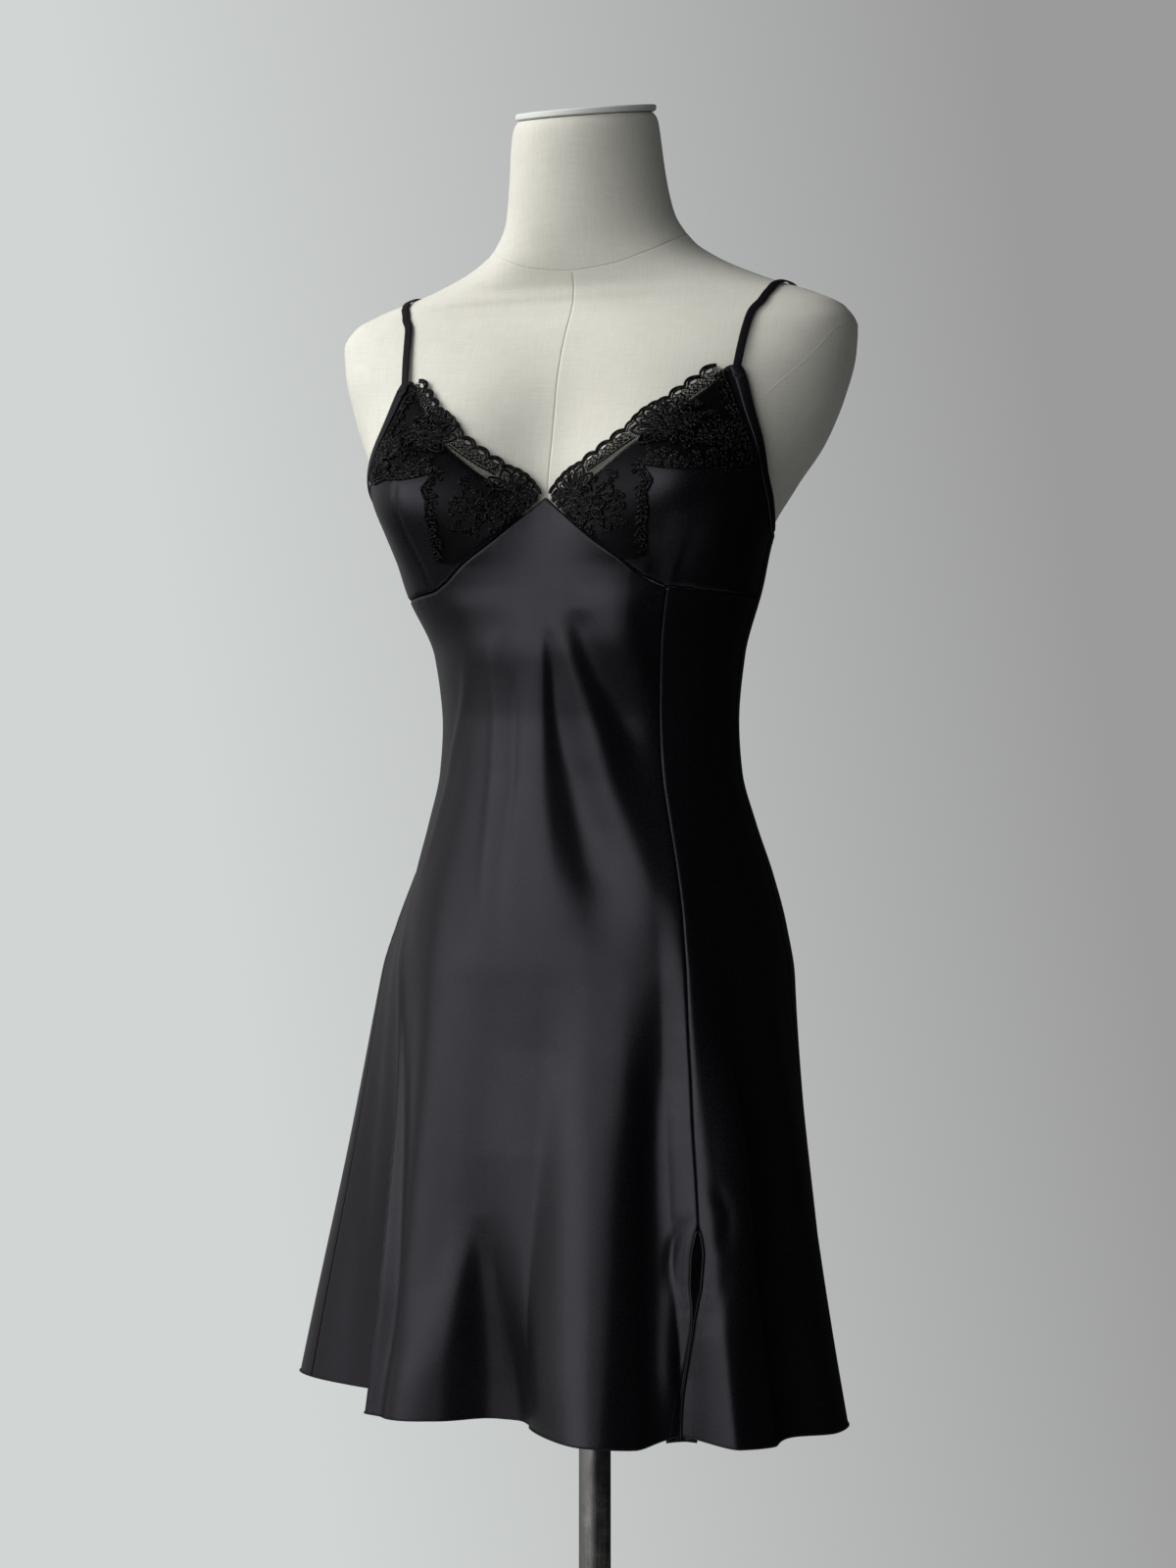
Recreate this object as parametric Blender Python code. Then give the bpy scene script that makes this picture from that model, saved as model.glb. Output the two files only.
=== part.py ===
"""A short satin slip dress with lace cups, worn by a limbless dress form on a pole stand.

Metres, +Z up. The origin is on the floor under the pole. The form faces -Y, and the wearer's left
is +X. An azimuth is an angle round the pole in degrees: 0 at the centre front, 90 at the wearer's
left, -90 at the wearer's right and 180 at the centre back. A height is measured from the floor.
"""

import math
from collections import namedtuple

import bmesh
import bpy
from mathutils import Vector
from mathutils.bvhtree import BVHTree
from mathutils.geometry import delaunay_2d_cdt

# Driving dimensions
WAIST_HEIGHT = 1.03
HIP_HEIGHT = 0.83  # below this the skirt no longer touches the form
HEM_HEIGHT = 0.496
SLIT_TOP = 0.655
SIDE_SEAM = 92.0  # azimuth of both side seams
CLOTH = 0.0012  # wall of every satin piece
LACE = 0.0010
SEAM_GAP = 0.0007  # between two panels sewn together
LAY_GAP = 0.0007  # between a piece and what it lies on
LACE_GAP = 0.0012  # the same under the lace, which follows the cup less closely
STRAP_WIDTH = 0.0065
BINDING_WIDTH = 0.0055
POLE_RADIUS = 0.0125
BASE_RADIUS = 0.18
BASE_THICKNESS = 0.006
CAP_THICKNESS = 0.006

# The form, from below upwards. Front, back and half_width are measured from the ring's own centre,
# which is `centre` behind the pole. `lean` is how steeply the ring rises from front to back, and
# `square` is 2 for an ellipse and more for a fuller outline.
FormRing = namedtuple("FormRing", "height half_width front back centre lean square")
FORM_RINGS = [
    FormRing(0.780, 0.139, 0.096, 0.110, -0.004, 0.00, 2.15),
    FormRing(0.792, 0.147, 0.102, 0.118, -0.004, 0.00, 2.15),
    FormRing(0.830, 0.151, 0.106, 0.121, -0.004, 0.00, 2.15),
    FormRing(0.870, 0.146, 0.104, 0.115, -0.004, 0.00, 2.15),
    FormRing(0.910, 0.137, 0.099, 0.104, -0.005, 0.00, 2.15),
    FormRing(0.950, 0.125, 0.092, 0.091, -0.007, 0.00, 2.15),
    FormRing(0.990, 0.115, 0.085, 0.080, -0.009, 0.00, 2.15),
    FormRing(1.030, 0.112, 0.082, 0.075, -0.010, 0.00, 2.15),
    FormRing(1.080, 0.116, 0.086, 0.082, -0.010, 0.00, 2.15),
    FormRing(1.130, 0.130, 0.091, 0.091, -0.008, 0.00, 2.15),
    FormRing(1.176, 0.142, 0.093, 0.097, -0.005, 0.00, 2.15),
    FormRing(1.210, 0.162, 0.092, 0.099, -0.002, 0.00, 2.15),
    FormRing(1.243, 0.184, 0.087, 0.101, 0.000, 0.00, 2.30),
    FormRing(1.280, 0.200, 0.082, 0.096, 0.001, 0.00, 2.50),
    FormRing(1.310, 0.208, 0.072, 0.086, 0.001, 0.00, 2.80),
    FormRing(1.332, 0.211, 0.059, 0.071, 0.000, 0.00, 2.80),
    FormRing(1.346, 0.203, 0.050, 0.058, 0.000, 0.00, 2.80),
    FormRing(1.357, 0.181, 0.046, 0.052, 0.000, 0.02, 2.80),
    FormRing(1.367, 0.152, 0.046, 0.052, 0.001, 0.05, 2.50),
    FormRing(1.378, 0.124, 0.048, 0.053, 0.000, 0.08, 2.20),
    FormRing(1.389, 0.101, 0.051, 0.055, -0.002, 0.11, 2.00),
    FormRing(1.402, 0.082, 0.053, 0.056, -0.005, 0.14, 2.00),
    FormRing(1.424, 0.0675, 0.054, 0.057, -0.011, 0.17, 2.00),
    FormRing(1.450, 0.0625, 0.054, 0.056, -0.016, 0.19, 2.00),
    FormRing(1.492, 0.0575, 0.053, 0.054, -0.020, 0.20, 2.00),
    FormRing(1.498, 0.0555, 0.052, 0.053, -0.020, 0.20, 2.00),
    FormRing(1.5015, 0.0525, 0.050, 0.051, -0.020, 0.20, 2.00),
]
FORM_SEGMENTS = 48

# The bust of the form, a smooth rise on each side of the centre front
BUST_AZIMUTH = 46.0
BUST_HEIGHT = 1.207
BUST_RISE = 0.047
BUST_SPREAD = 18.5
BUST_SPREAD_UP = 0.046
BUST_SPREAD_DOWN = 0.044

# How far the satin's outer face stands off the form above the hip, in the four directions
EaseRing = namedtuple("EaseRing", "height right left front back")
EASE_RINGS = [
    EaseRing(0.830, 0.006, 0.006, 0.010, 0.006),
    EaseRing(0.930, 0.005, 0.006, 0.012, 0.010),
    EaseRing(0.980, 0.005, 0.006, 0.012, 0.012),
    EaseRing(1.030, 0.006, 0.007, 0.011, 0.011),
    EaseRing(1.080, 0.008, 0.007, 0.010, 0.009),
    EaseRing(1.130, 0.016, 0.006, 0.008, 0.006),
    EaseRing(1.180, 0.010, 0.004, 0.006, 0.005),
    EaseRing(1.230, 0.004, 0.004, 0.004, 0.005),
    EaseRing(1.320, 0.004, 0.004, 0.004, 0.005),
]
# The hem, round the skirt: how far it reaches from the hip's centre, how far it is lifted above its
# lowest level, and the height where the fold or flare above it starts
HemPoint = namedtuple("HemPoint", "azimuth reach lift start")
HEM = [
    HemPoint(-180, 0.215, 0.006, 0.93),
    HemPoint(-165, 0.180, 0.008, 0.88),
    HemPoint(-148, 0.218, 0.006, 0.95),
    HemPoint(-132, 0.184, 0.010, 0.88),
    HemPoint(-116, 0.206, 0.008, 0.92),
    HemPoint(-97, 0.272, 0.006, 0.99),
    HemPoint(-86, 0.206, 0.004, 0.95),
    HemPoint(-75, 0.152, 0.004, 0.84),
    HemPoint(-62, 0.160, 0.002, 0.84),
    HemPoint(-45, 0.172, 0.002, 0.90),
    HemPoint(-30, 0.152, 0.004, 0.84),
    HemPoint(-16, 0.130, 0.006, 0.80),
    HemPoint(0, 0.132, 0.006, 0.84),
    HemPoint(20, 0.190, 0.001, 0.92),
    HemPoint(30, 0.192, 0.000, 0.90),
    HemPoint(42, 0.180, 0.006, 0.84),
    HemPoint(50, 0.221, 0.001, 0.88),
    HemPoint(58, 0.220, 0.000, 0.86),
    HemPoint(66, 0.210, 0.002, 0.84),
    HemPoint(76, 0.221, 0.001, 0.86),
    HemPoint(86, 0.214, 0.001, 0.84),
    HemPoint(97, 0.194, 0.004, 0.84),
    HemPoint(108, 0.181, 0.006, 0.84),
    HemPoint(120, 0.190, 0.008, 0.90),
    HemPoint(134, 0.178, 0.008, 0.86),
    HemPoint(148, 0.210, 0.006, 0.94),
    HemPoint(164, 0.178, 0.008, 0.88),
    HemPoint(180, 0.215, 0.006, 0.93),
]
FALL_POWER = 1.08  # 1 is a straight fall from the hip, more is a bell

# The seam under the cups, the same on both sides: a point at the centre front, low at the sides
SeamPoint = namedtuple("SeamPoint", "azimuth height")
EMPIRE_SEAM = [
    SeamPoint(0, 1.197),
    SeamPoint(12, 1.178),
    SeamPoint(22, 1.161),
    SeamPoint(32, 1.146),
    SeamPoint(41, 1.1325),
    SeamPoint(48, 1.127),
    SeamPoint(64, 1.1245),
    SeamPoint(92, 1.123),
]

# The left front seam, from the hem to the cup. Below the slit's top it is the middle of the slit.
SeamRow = namedtuple("SeamRow", "height azimuth")
PRINCESS_SEAM = [
    SeamRow(0.490, 42.3),
    SeamRow(0.510, 42.8),
    SeamRow(0.553, 45.0),
    SeamRow(0.584, 46.2),
    SeamRow(0.614, 46.9),
    SeamRow(0.655, 47.6),
    SeamRow(0.726, 47.9),
    SeamRow(0.848, 49.2),
    SeamRow(0.950, 50.1),
    SeamRow(1.024, 50.2),
    SeamRow(1.090, 48.9),
    SeamRow(1.128, 47.9),
]

# How wide the slit stands open
SlitRow = namedtuple("SlitRow", "height opening")
SLIT = [
    SlitRow(0.490, 0.0040),
    SlitRow(0.553, 0.0060),
    SlitRow(0.584, 0.0080),
    SlitRow(0.614, 0.0140),
    SlitRow(0.636, 0.0150),
    SlitRow(0.648, 0.0090),
    SlitRow(0.655, 0.0005),
]

# The satin edge of a left cup, from the centre front over the strap's foot to the side seam
CupPoint = namedtuple("CupPoint", "across azimuth height")
CUP_EDGE = [
    CupPoint(0.00, 1.5, 1.1985),
    CupPoint(0.14, 14.5, 1.205),
    CupPoint(0.24, 24.0, 1.217),
    CupPoint(0.33, 32.0, 1.232),
    CupPoint(0.43, 41.0, 1.249),
    CupPoint(0.53, 50.0, 1.266),
    CupPoint(0.62, 57.5, 1.281),
    CupPoint(0.68, 61.5, 1.2935),
    CupPoint(0.71, 63.5, 1.2945),
    CupPoint(0.74, 64.4, 1.286),
    CupPoint(0.80, 64.8, 1.262),
    CupPoint(0.85, 66.3, 1.235),
    CupPoint(0.89, 69.6, 1.213),
    CupPoint(0.94, 78.0, 1.194),
    CupPoint(1.00, 92.0, 1.176),
]
STRAP_FOOT = 0.695  # where along that edge the strap is sewn
BINDING_START = 0.717  # where along that edge the armhole binding starts
BINDING_END = 0.996
BINDING_INSET = 0.0004  # of the binding's outer edge from the cup's
BINDING_STEPS = 22
RIGHT_EDGE_SHIFT = 3.6  # degrees that the right cup's upper outer edge sits nearer the front

# The lace on a left cup: its scalloped edge along the neck, from the centre front to the strap
LacePoint = namedtuple("LacePoint", "azimuth height")
LACE_EDGE = [
    LacePoint(2.0, 1.1993),
    LacePoint(10.0, 1.2118),
    LacePoint(22.0, 1.2280),
    LacePoint(30.0, 1.2415),
    LacePoint(38.0, 1.2565),
    LacePoint(49.0, 1.2750),
    LacePoint(55.0, 1.2855),
    LacePoint(58.8, 1.2935),
]
# and the rest of its outline, down beside the armhole and back along its inner border to the seam
LACE_BORDER = [
    LacePoint(60.4, 1.2880),
    LacePoint(60.8, 1.2750),
    LacePoint(61.1, 1.2580),
    LacePoint(62.0, 1.2400),
    LacePoint(63.2, 1.2250),
    LacePoint(62.0, 1.2140),
    LacePoint(57.0, 1.2105),
    LacePoint(50.0, 1.2125),
    LacePoint(44.0, 1.2110),
    LacePoint(39.0, 1.2125),
    LacePoint(35.5, 1.2150),
    LacePoint(37.8, 1.2040),
    LacePoint(36.6, 1.1940),
    LacePoint(37.6, 1.1820),
    LacePoint(37.8, 1.1700),
    LacePoint(39.0, 1.1590),
    LacePoint(40.0, 1.1500),
    LacePoint(36.0, 1.1470),
]
SCALLOP_UNITS = 4  # fans and groups of loops by turns, along the lace's edge
LOOPS_PER_UNIT = 3
FAN_RISE = 0.0035
LOOP_RISE = 0.0030
LOOP_HOLE_LONG = 0.0033  # half the length of the hole in a loop
LOOP_HOLE_WIDE = 0.0021
FLAT_ARC = 0.0022  # metres for each degree, where a cup and its lace are laid out flat
FILL_STEP = 0.0085  # spacing of the points inside them
EDGE_STEP = 0.0075  # spacing of the points along a cup's edges

# A left strap, from the cup's tip over the shoulder to the back, near the form's surface
StrapPoint = namedtuple("StrapPoint", "x y z")
STRAP_ROUTE = [
    StrapPoint(0.1350, -0.0640, 1.2975),
    StrapPoint(0.1390, -0.0560, 1.3125),
    StrapPoint(0.1440, -0.0470, 1.3290),
    StrapPoint(0.1510, -0.0360, 1.3440),
    StrapPoint(0.1570, -0.0220, 1.3580),
    StrapPoint(0.1590, -0.0050, 1.3660),
    StrapPoint(0.1560, 0.0200, 1.3620),
    StrapPoint(0.1470, 0.0480, 1.3400),
    StrapPoint(0.1340, 0.0780, 1.3000),
    StrapPoint(0.1190, 0.0950, 1.2500),
    StrapPoint(0.1040, 0.1000, 1.2100),
    StrapPoint(0.0940, 0.1030, 1.1800),
]
RIGHT_STRAP_INSET = 0.009
STRAP_SEGMENTS = 52
STRAP_GAP = 0.0015  # over the form's facets
STRAP_FOOT_LIFT = 0.0030  # the straps leave the satin's own surface at both feet

# The back's upper edge, from one side seam to the other
BACK_EDGE = [
    SeamPoint(92, 1.176),
    SeamPoint(116, 1.171),
    SeamPoint(140, 1.175),
    SeamPoint(180, 1.170),
    SeamPoint(220, 1.175),
    SeamPoint(244, 1.171),
    SeamPoint(268, 1.176),
]


def smoothly(rows, key, column, at):
    """A column of a table read at a place between its rows, on a curve that never overshoots."""
    places = [getattr(row, key) for row in rows]
    values = [getattr(row, column) for row in rows]
    if at <= places[0]:
        return values[0]
    if at >= places[-1]:
        return values[-1]
    i = next(k for k in range(len(places) - 1) if places[k + 1] >= at)
    slopes = [
        (values[k + 1] - values[k]) / (places[k + 1] - places[k])
        for k in range(len(places) - 1)
    ]

    def tangent(k):
        if k in (0, len(slopes)):
            return slopes[min(k, len(slopes) - 1)]
        before, after = slopes[k - 1], slopes[k]
        return 0.0 if before * after <= 0 else 2 * before * after / (before + after)

    span = places[i + 1] - places[i]
    t = (at - places[i]) / span
    return (
        (2 * t**3 - 3 * t**2 + 1) * values[i]
        + (t**3 - 2 * t**2 + t) * span * tangent(i)
        + (3 * t**2 - 2 * t**3) * values[i + 1]
        + (t**3 - t**2) * span * tangent(i + 1)
    )


def ease_in(share):
    """0 to 1 with level ends."""
    share = max(0.0, min(1.0, share))
    return share * share * (3 - 2 * share)


def turn_between(a, b):
    """The signed angle from azimuth b to azimuth a, within half a turn."""
    return (a - b + 180) % 360 - 180


def bell(x):
    return math.exp(-0.5 * x * x)


def form_radius(azimuth, height):
    """Distance of the form's surface from its ring's centre."""
    sine = abs(math.sin(math.radians(azimuth)))
    cosine = math.cos(math.radians(azimuth))
    side = smoothly(FORM_RINGS, "height", "half_width", height)
    depth = smoothly(FORM_RINGS, "height", "front" if cosine >= 0 else "back", height)
    power = smoothly(FORM_RINGS, "height", "square", height)
    radius = ((sine / side) ** power + (abs(cosine) / depth) ** power) ** (-1 / power)
    spread_z = BUST_SPREAD_UP if height > BUST_HEIGHT else BUST_SPREAD_DOWN
    over = abs(turn_between(azimuth, 0)) - BUST_AZIMUTH
    return radius + BUST_RISE * bell(over / BUST_SPREAD) * bell((height - BUST_HEIGHT) / spread_z)


def ease(azimuth, height):
    """How far the satin stands off the form: the four directions' values, turned smoothly."""
    sine = math.sin(math.radians(azimuth))
    cosine = math.cos(math.radians(azimuth))
    side = smoothly(EASE_RINGS, "height", "left" if sine >= 0 else "right", height)
    depth = smoothly(EASE_RINGS, "height", "front" if cosine >= 0 else "back", height)
    return side * sine * sine + depth * cosine * cosine


def body_radius(azimuth, height):
    """Distance of the satin's outer face from the ring's centre where it follows the form."""
    return form_radius(azimuth, height) + ease(azimuth, height)


def fall(azimuth, height):
    """How far the skirt's folds and flares stand out from the satin at the hip."""
    turn = turn_between(azimuth, 0)
    start = smoothly(HEM, "azimuth", "start", turn)
    if height >= start:
        return 0.0
    reach = smoothly(HEM, "azimuth", "reach", turn)
    share = (start - height) / (start - HEM_HEIGHT)
    return (reach - body_radius(azimuth, HIP_HEIGHT)) * share**FALL_POWER


def round_point(azimuth, height, radius):
    """The point at that distance from the ring's centre."""
    centre = smoothly(FORM_RINGS, "height", "centre", height)
    lean = smoothly(FORM_RINGS, "height", "lean", height)
    turn = math.radians(azimuth)
    forward = radius * math.cos(turn)
    return Vector((radius * math.sin(turn), centre - forward, height - lean * forward))


def cloth_point(azimuth, height):
    """A point on the satin's outer face."""
    radius = body_radius(azimuth, max(height, HIP_HEIGHT)) + fall(azimuth, height)
    return round_point(azimuth, height, radius)


def cloth_normal(azimuth, height):
    """The direction straight out of the satin, the same for every piece that meets there."""
    around = cloth_point(azimuth + 0.4, height) - cloth_point(azimuth - 0.4, height)
    upwards = cloth_point(azimuth, height + 0.002) - cloth_point(azimuth, height - 0.002)
    return around.cross(upwards).normalized()


def princess_seam(height):
    return smoothly(PRINCESS_SEAM, "height", "azimuth", height)


def slit_opening(height):
    return smoothly(SLIT, "height", "opening", height) if height < SLIT_TOP else SEAM_GAP


def degrees_across(distance, azimuth, height):
    """The angle that a short distance along the cloth covers at a place."""
    a_degree = cloth_point(azimuth + 0.5, height) - cloth_point(azimuth - 0.5, height)
    return distance / a_degree.length


def hem_height(azimuth):
    return HEM_HEIGHT + smoothly(HEM, "azimuth", "lift", turn_between(azimuth, 0))


def empire_height(azimuth):
    return smoothly(EMPIRE_SEAM, "azimuth", "height", abs(turn_between(azimuth, 0)))


def make_material(name, colour, roughness, metallic=0.0):
    material = bpy.data.materials.new(name)
    material.use_nodes = True
    shader = material.node_tree.nodes["Principled BSDF"]
    shader.inputs["Base Color"].default_value = (*colour, 1.0)
    shader.inputs["Roughness"].default_value = roughness
    shader.inputs["Metallic"].default_value = metallic
    material.diffuse_color = (*colour, 1.0)
    return material


def add_object(name, mesh_data, material):
    """Links a new object and shades it smooth."""
    mesh_data.materials.append(material)
    mesh_data.shade_smooth()
    mesh_data.set_sharp_from_angle(angle=math.radians(40))
    obj = bpy.data.objects.new(name, mesh_data)
    bpy.context.scene.collection.objects.link(obj)
    return obj


def add_faces(name, points, faces, material):
    mesh_data = bpy.data.meshes.new(name)
    mesh_data.from_pydata(points, [], faces)
    mesh_data.update()
    return add_object(name, mesh_data, material)


def make_wall(name, places, faces, out, thickness, material):
    """A closed wall whose corners are (azimuth, height) places. Its inner side stands `out` off the
    satin's outer face, and its faces are given as seen from outside."""
    bases = [cloth_point(*place) for place in places]
    normals = [cloth_normal(*place) for place in places]
    outer = [base + normal * (out + thickness) for base, normal in zip(bases, normals)]
    inner = [base + normal * out for base, normal in zip(bases, normals)]
    count = len(places)
    edges = {pair for face in faces for pair in zip(face, face[1:] + face[:1])}
    rim = [(b, a, a + count, b + count) for a, b in edges if (b, a) not in edges]
    back = [tuple(i + count for i in reversed(face)) for face in faces]
    return add_faces(name, outer + inner, faces + back + sorted(rim), material)


def make_sheet(name, place_at, columns, rows, material, out=-CLOTH):
    """A wall of satin over a grid. place_at(across, up) gives its places, seen from outside."""
    places = [
        place_at(i / columns, j / rows) for j in range(rows + 1) for i in range(columns + 1)
    ]
    wide = columns + 1
    faces = []
    for corner in (j * wide + i for j in range(rows) for i in range(columns)):
        faces.append((corner, corner + 1, corner + wide + 1))
        faces.append((corner, corner + wide + 1, corner + wide))
    return make_wall(name, places, faces, out, CLOTH, material)


def make_panel(name, left_edge, right_edge, top_edge, columns, rows, material):
    """A skirt panel from the hem to its top edge, between two seams given as azimuths by height."""

    def place_at(across, up):
        height = WAIST_HEIGHT
        for _ in range(4):
            azimuth = left_edge(height) + (right_edge(height) - left_edge(height)) * across
            low, high = hem_height(azimuth), top_edge(azimuth) - SEAM_GAP / 2
            height = low + (high - low) * up
        return azimuth, height

    return make_sheet(name, place_at, columns, rows, material)


def seam_side(azimuth_at, side, gap_at=lambda height: SEAM_GAP):
    """A seam's line for the panel on one side of it, moved by half the gap."""

    def edge(height):
        azimuth = azimuth_at(height)
        return azimuth + side * degrees_across(gap_at(height) / 2, azimuth, height)

    return edge


def make_front_panel(material):
    return make_panel(
        "front_panel",
        seam_side(lambda height: -SIDE_SEAM, 1),
        seam_side(princess_seam, -1, slit_opening),
        empire_height,
        29,
        22,
        material,
    )


def make_side_front_panel(material):
    return make_panel(
        "side_front_panel",
        seam_side(princess_seam, 1, slit_opening),
        seam_side(lambda height: SIDE_SEAM, -1),
        empire_height,
        12,
        20,
        material,
    )


def make_back_panel(material):
    return make_panel(
        "back_panel",
        seam_side(lambda height: SIDE_SEAM, 1),
        seam_side(lambda height: 360 - SIDE_SEAM, -1),
        lambda azimuth: smoothly(BACK_EDGE, "azimuth", "height", azimuth),
        28,
        21,
        material,
    )


def side_place(side, azimuth, height):
    """A left cup's place on the side that is asked for, 1 for the left and -1 for the right."""
    if side > 0:
        return azimuth, height
    shift = RIGHT_EDGE_SHIFT * bell((azimuth - 63) / 14) * ease_in((height - 1.16) / 0.08)
    return shift - azimuth, height


def laid_flat(azimuth, height):
    return Vector((azimuth * FLAT_ARC, height))


def cup_edge_flat(across):
    return laid_flat(
        smoothly(CUP_EDGE, "across", "azimuth", across),
        smoothly(CUP_EDGE, "across", "height", across),
    )


def line_points(line, spacing):
    """A polyline's points again, evenly spaced."""
    lengths = [(b - a).length for a, b in zip(line, line[1:])]
    count = max(2, round(sum(lengths) / spacing))
    points = []
    for k in range(count + 1):
        rest = sum(lengths) * k / count
        i = 0
        while i < len(lengths) - 1 and rest > lengths[i]:
            rest -= lengths[i]
            i += 1
        points.append(line[i].lerp(line[i + 1], min(1.0, rest / lengths[i])))
    return points


def scallop(share):
    """How far the lace's edge stands out at a share of its length."""
    unit = share * SCALLOP_UNITS
    within = unit % 1.0
    if int(unit) % 2 == 0:
        return FAN_RISE * math.sin(math.pi * within) ** 0.7
    return LOOP_RISE * abs(math.sin(math.pi * LOOPS_PER_UNIT * within)) ** 0.7


def scalloped_edge():
    """The neck edge of a lace, flat, and the middles and directions of the holes in its loops."""
    coarse = [laid_flat(p.azimuth, p.height) for p in LACE_EDGE]
    steps = SCALLOP_UNITS * LOOPS_PER_UNIT * 4
    length = sum((b - a).length for a, b in zip(coarse, coarse[1:]))
    line = line_points(coarse, length / steps)
    edge, holes = [], []
    for k, point in enumerate(line):
        along = (line[min(k + 1, steps)] - line[max(k - 1, 0)]).normalized()
        out = Vector((-along.y, along.x))
        share = min(k / steps, 0.9999)
        edge.append(point + out * scallop(share))
        in_loops = int(share * SCALLOP_UNITS) % 2 == 1
        if in_loops and k % 4 == 2:
            holes.append((point - out * 0.0006, along, out))
    return edge, holes


def inside(point, polygon):
    """Whether a flat point lies inside a closed line."""
    crossings = 0
    for a, b in zip(polygon, polygon[1:] + polygon[:1]):
        if (a.y > point.y) != (b.y > point.y):
            crossings += point.x < a.x + (b.x - a.x) * (point.y - a.y) / (b.y - a.y)
    return crossings % 2 == 1


def lace_outline():
    """The lace's outline, flat, and the outlines of its holes."""
    edge, holes = scalloped_edge()
    border = [laid_flat(p.azimuth, p.height) for p in LACE_BORDER]
    seam = [
        laid_flat(azimuth, empire_height(azimuth) + 0.0015) for azimuth in (32, 26, 20, 14, 8, 3.5)
    ]
    outline = edge + border + seam
    rings = []
    for middle, along, out in holes:
        turns = [2 * math.pi * k / 8 for k in range(8)]
        rings.append(
            [
                middle + along * LOOP_HOLE_LONG * math.cos(t) + out * LOOP_HOLE_WIDE * math.sin(t)
                for t in turns
            ]
        )
    return outline, rings


def cup_outline():
    """A left cup's outline, flat: along the seam under it, up the side seam and back over its edge."""
    first = CUP_EDGE[0].azimuth
    last = SIDE_SEAM - degrees_across(SEAM_GAP / 2, SIDE_SEAM, CUP_EDGE[-1].height)
    under = [first + (last - first) * k / 60 for k in range(61)]
    seam = [laid_flat(azimuth, empire_height(azimuth) + SEAM_GAP / 2) for azimuth in under]
    armhole = [cup_edge_flat(1 - (1 - STRAP_FOOT) * k / 60) for k in range(61)]
    armhole[0] = laid_flat(last, CUP_EDGE[-1].height)
    neck = [cup_edge_flat(STRAP_FOOT * (1 - k / 60)) for k in range(61)]
    outline = []
    for line in (seam, [seam[-1], armhole[0]], armhole, neck, [neck[-1], seam[0]]):
        outline += line_points(line, EDGE_STEP)[:-1]
    return outline


def fill_points(outline, holes):
    """Points inside an outline on a staggered grid, clear of its edges."""
    edges = [point for ring in [outline, *holes] for point in ring]
    low = Vector((min(p.x for p in outline), min(p.y for p in outline)))
    high = Vector((max(p.x for p in outline), max(p.y for p in outline)))
    row_step = FILL_STEP * 0.87
    fill = []
    for row in range(int((high.y - low.y) / row_step) + 1):
        for column in range(int((high.x - low.x) / FILL_STEP) + 1):
            offset = Vector(((column + 0.5 * (row % 2)) * FILL_STEP, (row + 0.5) * row_step))
            point = low + offset
            clear = min((point - other).length for other in edges) > FILL_STEP * 0.45
            if clear and inside(point, outline) and not any(inside(point, h) for h in holes):
                fill.append(point)
    return fill


def make_cut_piece(name, side, outline, holes, out, thickness, material):
    """A piece cut flat to its outline and holes, then laid on the satin's points moved out."""
    points, edges = [], []
    for ring in [outline, *holes]:
        first = len(points)
        points += ring
        edges += [(first + k, first + (k + 1) % len(ring)) for k in range(len(ring))]
    points += fill_points(outline, holes)
    flat, _, triangles, *_ = delaunay_2d_cdt(points, edges, [], 0, 1e-7)
    kept = []
    for a, b, c in triangles:
        middle = (flat[a] + flat[b] + flat[c]) / 3
        if inside(middle, outline) and not any(inside(middle, hole) for hole in holes):
            kept.append((a, b, c) if side > 0 else (c, b, a))
    used = sorted({i for triangle in kept for i in triangle})
    place = {old: new for new, old in enumerate(used)}
    faces = [tuple(place[i] for i in triangle) for triangle in kept]
    places = [side_place(side, flat[i].x / FLAT_ARC, flat[i].y) for i in used]
    return make_wall(name, places, faces, out, thickness, material)


def make_binding(name, side, material):
    """A narrow strip laid along a cup's armhole edge, from the strap's foot to the side seam."""

    def place_at(across, up):
        share = across if side > 0 else 1 - across
        place = BINDING_START + (BINDING_END - BINDING_START) * share
        along = (cup_edge_flat(place + 0.004) - cup_edge_flat(place - 0.004)).normalized()
        inward = Vector((along.y, -along.x))
        flat = cup_edge_flat(place) + inward * (BINDING_INSET + BINDING_WIDTH * (1 - up))
        return side_place(side, flat.x / FLAT_ARC, flat.y)

    return make_sheet(name, place_at, BINDING_STEPS, 1, material, out=LAY_GAP)


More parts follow.
